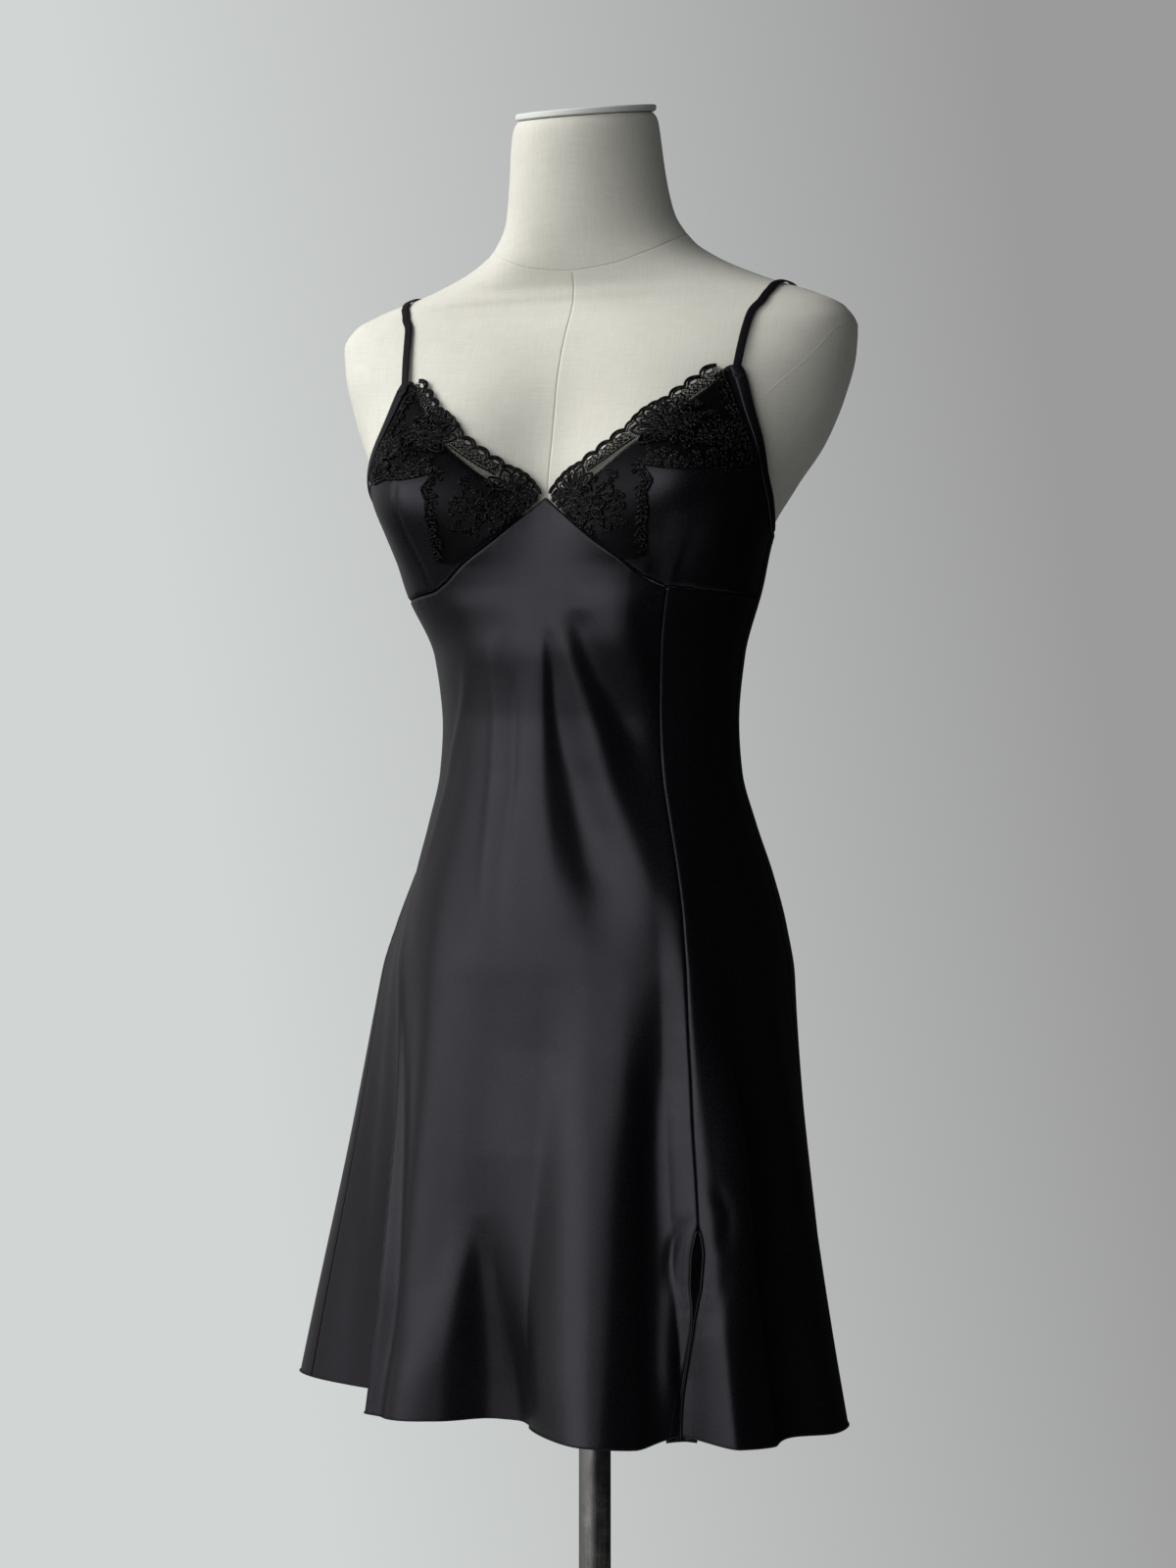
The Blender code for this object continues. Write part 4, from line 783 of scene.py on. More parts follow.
linenLook = {
    "pale": (0.80, 0.79, 0.72), "shade": (0.66, 0.645, 0.575), "sheen": (1, 1, 0.97), "threads": 620.0,
    "roughness": (0.78, 0.92), "soil": 9.0, "bump": 0.00016,
}


def makeLinen():
    made, tree, shader = material("linenCover", linenLook["pale"], 0.85, specular=0.2,
                                  sheen=0.15, sheenTint=linenLook["sheen"])
    threads = place(tree, crossedThreads, clothMap(tree), Across_per_metre=linenLook["threads"],
                    Along_per_metre=linenLook["threads"], Slub=1.6)
    slubs = threads.outputs["Slubs"]
    soil = mathNode(tree, "MULTIPLY", noiseNode(tree, objectPlace(tree), linenLook["soil"], 4.0, 0.55), 0.55)
    share = mathNode(tree, "ADD", mathNode(tree, "MULTIPLY", slubs, 0.45), soil, clamp=True)
    share = mapRange(tree, share, 0.3, 0.75, 0, 1)
    tints = linenLook["shade"], linenLook["pale"]
    vary(tree, shader, share, tints, slubs, linenLook["roughness"], (0.2, 0.8))
    bump(tree, shader, threads.outputs["Height"], 0.55, linenLook["bump"])
    return made


paintLook = {
    "colour": (0.72, 0.74, 0.71), "cloud": ((0.66, 0.68, 0.65), (0.76, 0.78, 0.75)),
    "roughness": (0.38, 0.55), "grain": 420.0,
}


def makePaint():
    made, tree, shader = material("capPaint", paintLook["colour"], 0.45, specular=0.4)
    grain = noiseNode(tree, objectPlace(tree), paintLook["grain"], 3.0)
    cloud = noiseNode(tree, objectPlace(tree), 30.0, 3.0)
    vary(tree, shader, cloud, paintLook["cloud"], grain, paintLook["roughness"])
    bump(tree, shader, grain, 0.25, 0.0002)
    return made


steelLook = {
    "colour": (0.48, 0.47, 0.455), "marks": ((0.42, 0.41, 0.395), (0.52, 0.51, 0.49)),
    "roughness": (0.14, 0.30), "brushed": (900.0, 900.0, 9.0),
}


def makeSteel():
    made, tree, shader = material("brushedSteel", steelLook["colour"], 0.2, metallic=1.0)
    brush = noiseNode(tree, stretched(tree, objectPlace(tree), steelLook["brushed"]), 1.0, 3.0, 0.6)
    marks = noiseNode(tree, objectPlace(tree), 60.0, 4.0, 0.6)
    both = mathNode(tree, "MULTIPLY", mathNode(tree, "ADD", brush, marks), 0.5)
    vary(tree, shader, marks, steelLook["marks"], both, steelLook["roughness"], (0.35, 0.65))
    bump(tree, shader, brush, 0.12, 0.0001)
    return made


def makeThread(name, colour):
    made, tree, shader = material(name, colour, 0.55, specular=0.4, sheen=0.3)
    twist = noiseNode(tree, objectPlace(tree), 2500.0, 2.0)
    paler = tuple(min(1.0, c * 1.5) for c in colour)
    vary(tree, shader, twist, (colour, paler), twist, (0.45, 0.65))
    bump(tree, shader, twist, 0.4, 0.0001)
    return made


satin = makeSatin("blackSatin", satinLook)
laceCord = makeLaceCord()
netting = makeNet()
linen = makeLinen()
capPaint = makePaint()
steel = makeSteel()
blackThread = makeThread("blackThread", (0.012, 0.012, 0.014))
print("finishes made")


# Geometry Nodes: cords that follow drawn lines, and stitches set along them

def newTree(name, inputs):
    tree = bpy.data.node_groups.new(name, "GeometryNodeTree")
    tree.is_modifier = True
    for socketName, kind, value in [("Geometry", "NodeSocketGeometry", None)] + inputs:
        socket = tree.interface.new_socket(name=socketName, in_out="INPUT", socket_type=kind)
        if value is not None:
            socket.default_value = value
    tree.interface.new_socket(name="Geometry", in_out="OUTPUT", socket_type="NodeSocketGeometry")
    into, out = tree.nodes.new("NodeGroupInput"), tree.nodes.new("NodeGroupOutput")
    return tree, into, out


def attribute(tree, name, kind):
    inputs = {"Name": name}
    return addNode(tree, "GeometryNodeInputNamedAttribute", inputs, data_type=kind).outputs["Attribute"]


def closeTree(tree, shape, into, out):  # ends a tree in real mesh with its own finish
    real = addNode(tree, "GeometryNodeRealizeInstances", {0: shape})
    inputs = {"Geometry": real.outputs[0], "Material": into.outputs["Material"]}
    tree.links.new(addNode(tree, "GeometryNodeSetMaterial", inputs).outputs[0], out.inputs[0])
    return tree


def makeCordTree():
    tree, into, out = newTree("cordAlongLines", [
        ("Sides", "NodeSocketInt", 6), ("Material", "NodeSocketMaterial", None),
    ])
    thick = attribute(tree, "thick", "FLOAT")
    curve = addNode(tree, "GeometryNodeMeshToCurve", {0: into.outputs["Geometry"]})
    radius = addNode(tree, "GeometryNodeSetCurveRadius", {"Curve": curve.outputs[0], "Radius": thick})
    inputs = {"Radius": 1.0, "Resolution": into.outputs["Sides"]}
    profile = addNode(tree, "GeometryNodeCurvePrimitiveCircle", inputs)
    inputs = {"Curve": radius.outputs[0], "Profile Curve": profile.outputs[0], "Fill Caps": True}
    sweep = addNode(tree, "GeometryNodeCurveToMesh", inputs)
    if "Scale" in sweep.inputs:
        tree.links.new(thick, sweep.inputs["Scale"])
    return closeTree(tree, sweep.outputs[0], into, out)


def makeStitchTree():
    tree, into, out = newTree("stitchesAlongLines", [
        ("Spacing", "NodeSocketFloat", 0.0024), ("Length", "NodeSocketFloat", 0.0016),
        ("Thickness", "NodeSocketFloat", 0.00022), ("Across", "NodeSocketBool", False),
        ("Seed", "NodeSocketInt", 3), ("Material", "NodeSocketMaterial", None),
    ])
    given = into.outputs
    curve = addNode(tree, "GeometryNodeMeshToCurve", {0: given["Geometry"]})
    inputs = {"Curve": curve.outputs[0], "Length": given["Spacing"]}
    points = addNode(tree, "GeometryNodeResampleCurve", inputs, mode="LENGTH")
    tangent = addNode(tree, "GeometryNodeInputTangent").outputs[0]
    outward = attribute(tree, "outward", "FLOAT_VECTOR")
    inputs = {0: outward, 1: tangent}
    sideways = addNode(tree, "ShaderNodeVectorMath", inputs, operation="CROSS_PRODUCT")
    inputs = {"Switch": given["Across"], "False": tangent, "True": sideways.outputs[0]}
    along = addNode(tree, "GeometryNodeSwitch", inputs, input_type="VECTOR")
    inputs = {"Primary Axis": outward, "Secondary Axis": along.outputs[0]}
    turn = addNode(tree, "FunctionNodeAxesToRotation", inputs, primary_axis="Z", secondary_axis="X")
    bead = addNode(tree, "GeometryNodeMeshUVSphere", {"Segments": 6, "Rings": 4, "Radius": 0.5})
    inputs = {"Geometry": bead.outputs["Mesh"], "Rotation": (0, math.pi / 2, 0)}
    lie = addNode(tree, "GeometryNodeTransform", inputs)
    smooth = addNode(tree, "GeometryNodeSetShadeSmooth", {"Geometry": lie.outputs[0]})
    random = addNode(tree, "FunctionNodeRandomValue", {2: 0.85, 3: 1.12, "Seed": given["Seed"]})
    long = mathNode(tree, "MULTIPLY", given["Length"], random.outputs[1])
    inputs = {"X": long, "Y": given["Thickness"], "Z": given["Thickness"]}
    size = addNode(tree, "ShaderNodeCombineXYZ", inputs)
    sew = addNode(tree, "GeometryNodeInstanceOnPoints", {
        "Points": points.outputs[0], "Instance": smooth.outputs[0],
        "Rotation": turn.outputs[0], "Scale": size.outputs[0],
    })
    return closeTree(tree, sew.outputs[0], into, out)


cordAlongLines = makeCordTree()
stitchesAlongLines = makeStitchTree()


def addLines(name, lines):  # each line is its points, its thickness, and the way out of the cloth there
    points, edges, thick, outward = [], [], [], []
    for line in lines:
        first, count = len(points), len(line["points"])
        points += [tuple(p) for p in line["points"]]
        edges += [(first + k, first + k + 1) for k in range(count - 1)]
        if line.get("closed"):
            edges.append((first + count - 1, first))
        thick += list(np.broadcast_to(line.get("thick", 0.0005), count))
        outward += [tuple(v) for v in np.broadcast_to(line.get("outward", (0, 0, 1)), (count, 3))]
    mesh = bpy.data.meshes.new(name)
    mesh.from_pydata(points, edges, [])
    for label, kind, field, values in (
        ("thick", "FLOAT", "value", thick), ("outward", "FLOAT_VECTOR", "vector", outward),
    ):
        layer = mesh.attributes.new(label, kind, "POINT")
        layer.data.foreach_set(field, np.array(values, np.float32).ravel())
    return linked(name, mesh)


def runTree(piece, tree, **values):
    made = piece.modifiers.new(tree.name, "NODES")
    made.node_group = tree
    for item in tree.interface.items_tree:
        if item.in_out == "INPUT" and item.name in values:
            made[item.identifier] = values[item.name]
    settle(piece)
    piece.data.shade_smooth()
    return piece


def cordPiece(name, lines, finish, sides=6):
    return runTree(addLines(name, lines), cordAlongLines, Sides=sides, Material=finish)


def stitchPiece(name, lines, finish, spacing=0.0024, length=0.0016, thickness=0.00026, across=False):
    return runTree(addLines(name, lines), stitchesAlongLines, Spacing=spacing, Length=length,
                   Thickness=thickness, Across=across, Material=finish)


def lineOn(pointAt, azimuths, heights, lift, **more):  # a line that lies on a surface
    azimuths, heights = np.broadcast_arrays(np.asarray(azimuths, float), np.asarray(heights, float))
    normals = normalOf(pointAt, azimuths, heights)
    return {"points": pointAt(azimuths, heights) + normals * lift, "outward": normals, **more}


# The dress: three panels, whose edges are turned in where they are sewn

panelLook = {
    "cloth": 0.0005, "lip": 0.0011, "lipWidth": 0.0008, "pucker": 0.00022, "puckerEvery": 0.011,
    "puckerReach": 0.007, "edgeRows": (0, 0.0010, 0.0021, 0.0036, 0.0058), "innerRows": 0.0095,
    "front": (168, 206), "sideFront": (74, 200), "back": (150, 180),
}


def sharesAcross(columns):  # places over a panel, closer together at its two edges
    edge, first = np.array(panelLook["edgeRows"]), panelLook["innerRows"]
    return np.concatenate([edge, np.linspace(first, 1 - first, columns - 9), 1 - edge[::-1]])


def turnedIn(distance):  # a sewn edge's dip into its seam
    return -panelLook["lip"] * np.exp(-np.square(distance / panelLook["lipWidth"]))


def puckered(distance, along):  # the little pulls beside a line of sewing
    turns = 2 * math.pi * along / panelLook["puckerEvery"]
    wave = np.sin(turns + 1.7 * np.sin(0.31 * turns)) * (0.6 + 0.4 * np.sin(0.17 * turns))
    fade = np.exp(-distance / panelLook["puckerReach"]) * (1 - np.exp(-distance / 0.0012))
    return panelLook["pucker"] * wave * fade


def makePanel(name, leftEdge, rightEdge, topEdge, size):
    columns, rows = size
    across, up = np.meshgrid(sharesAcross(columns), sharesAcross(rows))
    height = np.full(across.shape, 1.0)
    for _ in range(8):  # the edges lean, so each height is found from the last
        azimuth = leftEdge(height) + (rightEdge(height) - leftEdge(height)) * across
        low, high = hemHeight(azimuth), topEdge(azimuth) - 0.0001
        height = low + (high - low) * up
    toLeft = (azimuth - leftEdge(height)) * metresPerDegree(azimuth, height)
    toRight = (rightEdge(height) - azimuth) * metresPerDegree(azimuth, height)
    toTop = high - height
    lift = turnedIn(toLeft) + turnedIn(toRight) + turnedIn(toTop)
    lift += puckered(toLeft, height) + puckered(toRight, height) + puckered(toTop, azimuth * 0.0022)
    points = skirtPoint(azimuth, height, lift)
    faces = gridFaces(len(across[0]) - 1, len(across) - 1)
    return thicken(addPiece(name, points, faces, satin, clothUv(points)), panelLook["cloth"])


def beside(azimuthAt, side, openingAt):  # one side of a seam, half its opening away
    def edge(height):
        middle = azimuthAt(height)
        return middle + side * openingAt(height) / 2 / metresPerDegree(middle, height)
    return edge


def always(value):
    return lambda height: np.full(np.shape(height), value)


sideSeam, sewn = dressShape["sideSeam"], always(dressShape["seamGap"])
frontPanel = makePanel(
    "satin_front_panel", beside(always(-sideSeam), 1, sewn), beside(slitSeamAzimuth, -1, slitOpening),
    cupSeamHeight, panelLook["front"],
)
sideFrontPanel = makePanel(
    "satin_side_front_panel", beside(slitSeamAzimuth, 1, slitOpening), beside(always(sideSeam), -1, sewn),
    cupSeamHeight, panelLook["sideFront"],
)
backPanel = makePanel(
    "satin_back_panel", beside(always(sideSeam), 1, sewn), beside(always(360 - sideSeam), -1, sewn),
    backEdgeHeight, panelLook["back"],
)
print("panels cut and hung")


# The cups, cut flat and laid on the bust

cupLook = {"step": 0.0026, "edgeStep": 0.0020}
hands = {"left": 1, "right": -1}


def onCup(side, flat):  # flat points as they lie on the left cup, or on the right one that answers to it
    azimuth, height = flat[:, 0] / cupShape["flatArc"], flat[:, 1]
    if side > 0:
        return azimuth, height
    shift = cupShape["rightShift"] * bell((azimuth - 63) / 14) * ramp((height - 1.16) / 0.08)
    return shift - azimuth, height


def cupEdge(across):
    edge = cupShape["edge"]
    return np.array([
        smoothly(edge, "across", "azimuth", across) * cupShape["flatArc"],
        smoothly(edge, "across", "height", across),
    ]).T


def respaced(line, step):  # a flat or solid line's points again, evenly spaced
    line = np.asarray(line, float)
    run = np.concatenate([[0], np.cumsum(np.linalg.norm(np.diff(line, axis=0), axis=1))])
    at = np.linspace(0, run[-1], max(2, round(run[-1] / step)) + 1)
    return np.stack([np.interp(at, run, column) for column in line.T], 1)


def insideLine(points, line):  # which flat points lie inside a closed line
    inside = np.zeros(len(points), bool)
    x, y = points[:, 0], points[:, 1]
    for a, b in zip(line, np.roll(line, -1, axis=0)):
        if a[1] != b[1]:
            crosses = (a[1] > y) != (b[1] > y)
            inside ^= crosses & (x < a[0] + (b[0] - a[0]) * (y - a[1]) / (b[1] - a[1]))
    return inside


def nearest(points, others):
    return np.min([np.hypot(*(points - other).T) for other in others], axis=0)


def cutFlat(outline, holes, step):  # triangles that fill a flat outline
    rings = [outline, *holes]
    points, edges = [], []
    for ring in rings:
        first = len(points)
        points += list(ring)
        edges += [(first + k, first + (k + 1) % len(ring)) for k in range(len(ring))]
    low, high = outline.min(0), outline.max(0)
    rowStep = step * 0.87
    rows = np.arange(int((high[1] - low[1]) / rowStep) + 1)
    columns = np.arange(int((high[0] - low[0]) / step) + 2)
    x = low[0] + (columns[None, :] + 0.5 * (rows[:, None] % 2)) * step
    y = np.broadcast_to(low[1] + (rows[:, None] + 0.5) * rowStep, x.shape)
    fill = np.stack([x.ravel(), y.ravel()], 1)
    keep = insideLine(fill, outline) & (nearest(fill, np.concatenate(rings)) > step * 0.5)
    for hole in holes:
        keep &= ~insideLine(fill, hole)
    points += list(fill[keep])
    flat, _, triangles, *_ = delaunay_2d_cdt([Vector(p) for p in points], edges, [], 0, 1e-7)
    flat = np.array([tuple(p) for p in flat])
    triangles = np.array(triangles)
    middles = flat[triangles].mean(1)
    keep = insideLine(middles, outline)
    for hole in holes:
        keep &= ~insideLine(middles, hole)
    return flat, triangles[keep]


def cupOutline():
    first = smoothly(cupShape["edge"], "across", "azimuth", 0.0)
    last = sideSeam - 0.05  # a hair's breadth short of the side seam
    under = np.linspace(first, last, 200)
    seam = np.stack([under * cupShape["flatArc"], cupSeamHeight(under) + 0.0001], 1)
    edge = cupEdge(np.linspace(1, 0, 400))
    edge[0, 0] = last * cupShape["flatArc"]
    foot = int(400 * (1 - cupShape["strapFoot"]))
    pieces = [respaced(line, cupLook["edgeStep"])[:-1] for line in (
        seam, [seam[-1], edge[0]], edge[:foot + 1], edge[foot:], [edge[-1], seam[0]],
    )]
    return np.concatenate(pieces)


cupFlat = cutFlat(cupOutline(), [], cupLook["step"])
cupEdgeLine = cupEdge(np.linspace(0, 1, 400))


def layOn(name, side, flat, triangles, liftAt, finish):
    faces = triangles if side > 0 else triangles[:, ::-1]
    return addPiece(name, cupPoint(*onCup(side, flat), liftAt(flat)), faces, finish, flat)


def cupLift(flat):
    toSeam = flat[:, 1] - cupSeamHeight(flat[:, 0] / cupShape["flatArc"])
    toEdge = nearest(flat, cupEdgeLine)
    toSide = np.maximum(sideSeam * cupShape["flatArc"] - flat[:, 0], 0)
    lift = turnedIn(toSeam) + turnedIn(toSide) + 0.5 * turnedIn(toEdge)
    return lift + puckered(toSeam, flat[:, 0])


cups = {
    word: thicken(layOn(f"satin_cup_{word}", side, *cupFlat, cupLift, satin), panelLook["cloth"])
    for word, side in hands.items()
}
print("cups laid")


# Bindings along the armholes, straps, and the turned edges

edgeLook = {
    "bindingStart": 0.717, "bindingEnd": 0.996, "bindingInset": 0.0002, "bindingWidth": 0.0055,
    "bindingLift": 0.0006, "bindingDome": 0.0009, "strapWidth": 0.0065, "strapThick": 0.0013,
    "strapOff": 0.0011, "strapFoot": (0.030, 0.008), "strapFootLift": (0.0032, 0.0013),
    "rightStrapInset": 0.009, "rollThick": 0.00085, "rollEvery": 0.0022, "foldCloth": 0.0004,
    "underlapTop": 0.592, "underlapReach": 0.006, "underlapOff": 0.0030, "underlapWave": 0.0012,
    "slitHem": 0.0065, "backHem": 0.0062,
    "slitRoll": (  # the lines of the fold: how far past the edge, and how far off the cloth
        (0.0, -0.0001), (-0.0009, -0.0005), (-0.0013, -0.0014),
        (-0.0007, -0.0022), (0.003, -0.0026), (0.0075, -0.0024),
    ),
}
strapRoute = table("x y z", [
    (0.1440, -0.0470, 1.3290), (0.1510, -0.0360, 1.3440), (0.1570, -0.0220, 1.3580),
    (0.1590, -0.0050, 1.3660), (0.1560, 0.0200, 1.3620), (0.1470, 0.0480, 1.3400),
    (0.1340, 0.0780, 1.3000), (0.1190, 0.0950, 1.2500), (0.1040, 0.1000, 1.2100),
    (0.0940, 0.1030, 1.1800), (0.0895, 0.1045, 1.1640),
])


def insideEdge(share, inset):  # flat places a little way in from the cup's edge
    way = unit(cupEdge(share + 0.004) - cupEdge(share - 0.004))
    return cupEdge(share) + np.stack([way[:, 1], -way[:, 0]], 1) * inset


def makeBinding(name, side, stations=150, ribs=10):
    across, along = np.meshgrid(np.linspace(0, 1, ribs), np.linspace(0, 1, stations))
    place = edgeLook["bindingStart"] + (edgeLook["bindingEnd"] - edgeLook["bindingStart"]) * along
    inset = edgeLook["bindingInset"] + edgeLook["bindingWidth"] * across.ravel()
    flat = insideEdge(place.ravel(), inset[:, None])
    bow = 1 - np.square(2 * across - 1)
    lift = edgeLook["bindingLift"] + edgeLook["bindingDome"] * np.sqrt(np.maximum(bow, 0))
    points = cupPoint(*onCup(side, flat), lift.ravel()).reshape(stations, ribs, 3)
    faces = gridFaces(ribs - 1, stations - 1)
    piece = addPiece(name, points, faces if side < 0 else faces[:, ::-1], satin, clothUv(points))
    return thicken(piece, panelLook["cloth"])


def curveThrough(points, count):  # a smooth curve through given points
    points = np.asarray(points, float)
    spans = len(points) - 1
    share = np.linspace(0, spans, count)
    i = np.minimum(share.astype(int), spans - 1)
    t = (share - i)[:, None]
    before, a = points[np.maximum(i - 1, 0)], points[i]
    b, after = points[i + 1], points[np.minimum(i + 2, spans)]
    return 0.5 * (2 * a + (b - before) * t + (2 * before - 5 * a + 4 * b - after) * t**2
                  + (3 * (a - b) + after - before) * t**3)


def makeStrap(name, side, tree, stations=130, ribs=14):
    inset = 0.0 if side > 0 else edgeLook["rightStrapInset"]
    guide = np.stack([side * (strapRoute["x"] - inset), strapRoute["y"], strapRoute["z"]], 1)
    foot = edgeLook["bindingStart"] + np.array(edgeLook["strapFoot"])
    flat = insideEdge(foot, edgeLook["bindingWidth"] * 0.5)
    guide = np.concatenate([cupPoint(*onCup(side, flat)), guide])
    near = [tree.find_nearest(Vector(p)) for p in curveThrough(guide, stations)]
    normals = np.array([tuple(hit[1]) for hit in near])
    share = np.linspace(0, 1, stations)
    for _ in range(6):  # evens out the way the strap faces
        before = np.concatenate([normals[:1], normals[:-1]])
        after = np.concatenate([normals[1:], normals[-1:]])
        normals = unit(before + normals + after)
    frontLift, backLift = edgeLook["strapFootLift"]
    lift = edgeLook["strapOff"] + frontLift * bell(share / 0.10) + backLift * bell((1 - share) / 0.06)
    middles = np.array([tuple(hit[0]) for hit in near]) + normals * lift[:, None]
    along = unit(np.gradient(middles, axis=0))
    sideways = unit(np.cross(along, normals))
    turn = 2 * np.pi * np.arange(ribs) / ribs
    flatten = np.sign(np.cos(turn)) * np.abs(np.cos(turn)) ** 0.55 * edgeLook["strapWidth"] / 2
    rise = (1 + np.sign(np.sin(turn)) * np.abs(np.sin(turn)) ** 0.7) * edgeLook["strapThick"] / 2
    points = middles[:, None] + sideways[:, None] * flatten[:, None] + normals[:, None] * rise[:, None]
    points = np.concatenate([points, points[:, :1]], 1)
    faces = gridFaces(ribs, stations - 1).tolist()
    last = (stations - 1) * (ribs + 1)
    faces += [list(range(ribs)), list(range(last, last + ribs))[::-1]]
    return addPiece(name, points, faces, satin, clothUv(points))


def foldPiece(name, rows):  # a narrow fold of cloth, from its lines side by side
    points = np.stack(rows, 1)
    faces = gridFaces(len(rows) - 1, len(points) - 1)
    return thicken(addPiece(name, points, faces, satin, clothUv(points)), edgeLook["foldCloth"])


def makeSlitEdge(name, side, count=90):  # folded in and back under itself
    height = np.linspace(dressShape["hem"] + 0.002, dressShape["slitTop"] - 0.004, count)
    edge = beside(slitSeamAzimuth, side, slitOpening)(height)
    return foldPiece(name, [
        skirtPoint(edge + side * inset / metresPerDegree(edge, height), height, lift)
        for inset, lift in edgeLook["slitRoll"]
    ])


def makeUnderlap(name, count=90):  # the side panel's turned hem, which lies behind the slit
    height = np.linspace(dressShape["hem"] + 0.0045, edgeLook["underlapTop"], count)
    seam, wave = slitSeamAzimuth(height), edgeLook["underlapWave"]
    half = slitOpening(height) / 2 / metresPerDegree(seam, height)
    reach = edgeLook["underlapReach"] / metresPerDegree(seam, height)
    rows = []
    for share in np.linspace(0, 1, 12):
        azimuth = seam + half + 0.9 * (1 - share) - (2 * half + reach) * share
        lift = -edgeLook["underlapOff"] - wave * np.sin(np.pi * share) - wave * np.sin(60 * height)
        rows.append(skirtPoint(azimuth, height, lift))
    return foldPiece(name, rows)


slitEdges = {
    "underlap": makeUnderlap("satin_slit_underlap"),
    "front": makeSlitEdge("satin_slit_edge_front", -1), "side": makeSlitEdge("satin_slit_edge_side", 1),
}


def hemLine(first, last, lift=-0.0002):
    azimuth = np.linspace(first, last, round(abs(last - first) / 0.42))
    return lineOn(skirtPoint, azimuth, hemHeight(azimuth) + 0.0004, lift, thick=edgeLook["rollThick"])


aboveHem = dressShape["hem"] + 0.001
slitLow = slitSeamAzimuth(aboveHem)
slitHalf = slitOpening(aboveHem) / 2 / metresPerDegree(slitLow, aboveHem)
hemRuns = {
    "front": (-sideSeam + 0.05, slitLow - slitHalf), "side_front": (slitLow + slitHalf, sideSeam - 0.05),
    "back": (sideSeam + 0.05, 360 - sideSeam - 0.05),
}
hemRolls = {word: cordPiece(f"satin_hem_{word}", [hemLine(*run)], satin, 7) for word, run in hemRuns.items()}
hemStitches = stitchPiece("thread_hem", [hemLine(*run, 0.0006) for run in hemRuns.values()], blackThread,
                          edgeLook["rollEvery"], 0.0021, 0.0003, True)


def seamStitches():  # the sewing that shows beside the slit and at the back's top edge
    lines = []
    height = np.linspace(dressShape["hem"] + 0.004, dressShape["slitTop"] - 0.008, 120)
    for side in (-1, 1):
        edge = beside(slitSeamAzimuth, side, slitOpening)(height)
        azimuth = edge + side * edgeLook["slitHem"] / metresPerDegree(edge, height)
        lines.append(lineOn(skirtPoint, azimuth, height, 0.0001))
    azimuth = np.linspace(sideSeam + 1, 360 - sideSeam - 1, 260)
    lines.append(lineOn(skirtPoint, azimuth, backEdgeHeight(azimuth) - edgeLook["backHem"], 0.0001))
    return lines


def bindingStitches(side):
    place = np.linspace(edgeLook["bindingStart"] + 0.004, edgeLook["bindingEnd"] - 0.004, 140)
    flat = insideEdge(place, edgeLook["bindingWidth"] - 0.0010)
    return lineOn(cupPoint, *onCup(side, flat), edgeLook["bindingLift"] + 0.00072)


seamThread = stitchPiece("thread_seams", seamStitches(), blackThread)
bindings, bindingThreads = {}, {}
for word, side in hands.items():
    bindings[word] = makeBinding(f"satin_binding_{word}", side)
    bindingThreads[word] = stitchPiece(f"thread_binding_{word}", [bindingStitches(side)], blackThread)
print("edges turned and sewn")


# The dress form: a linen cover over a smooth torso, its neck cap, and the stand

seamLook = {"depth": 0.0006, "width": 0.0006, "piping": 0.00045, "pipingSunk": 0.00022}
neckSeam = table("azimuth height", [
    (0, 1.381), (14, 1.382), (37, 1.3855), (54, 1.393), (76, 1.403), (100, 1.409), (140, 1.413), (180, 1.414),
])
armholeSeams = {
    "left": table("azimuth height", [
        (90.0, 1.3370), (83.1, 1.3250), (79.2, 1.3110), (74.2, 1.2910), (68.5, 1.2700), (66.5, 1.2450),
        (70.0, 1.2200), (80.0, 1.2020), (92.0, 1.1960), (104.0, 1.2000), (114.0, 1.2180), (118.0, 1.2450),
        (114.0, 1.2800), (106.0, 1.3080), (98.0, 1.3280), (90.0, 1.3370),
    ]),
    "right": table("azimuth height", [
        (-90.0, 1.3400), (-84.2, 1.3340), (-79.1, 1.3150), (-72.3, 1.2900), (-67.4, 1.2770),
        (-66.0, 1.2480), (-70.0, 1.2200), (-80.0, 1.2020), (-92.0, 1.1960), (-104.0, 1.2000),
        (-114.0, 1.2180), (-118.0, 1.2450), (-114.0, 1.2800), (-106.0, 1.3080), (-98.0, 1.3290),
        (-90.0, 1.3400),
    ]),
}


def groove(distance):
    return -seamLook["depth"] * np.exp(-np.square(distance / seamLook["width"]))


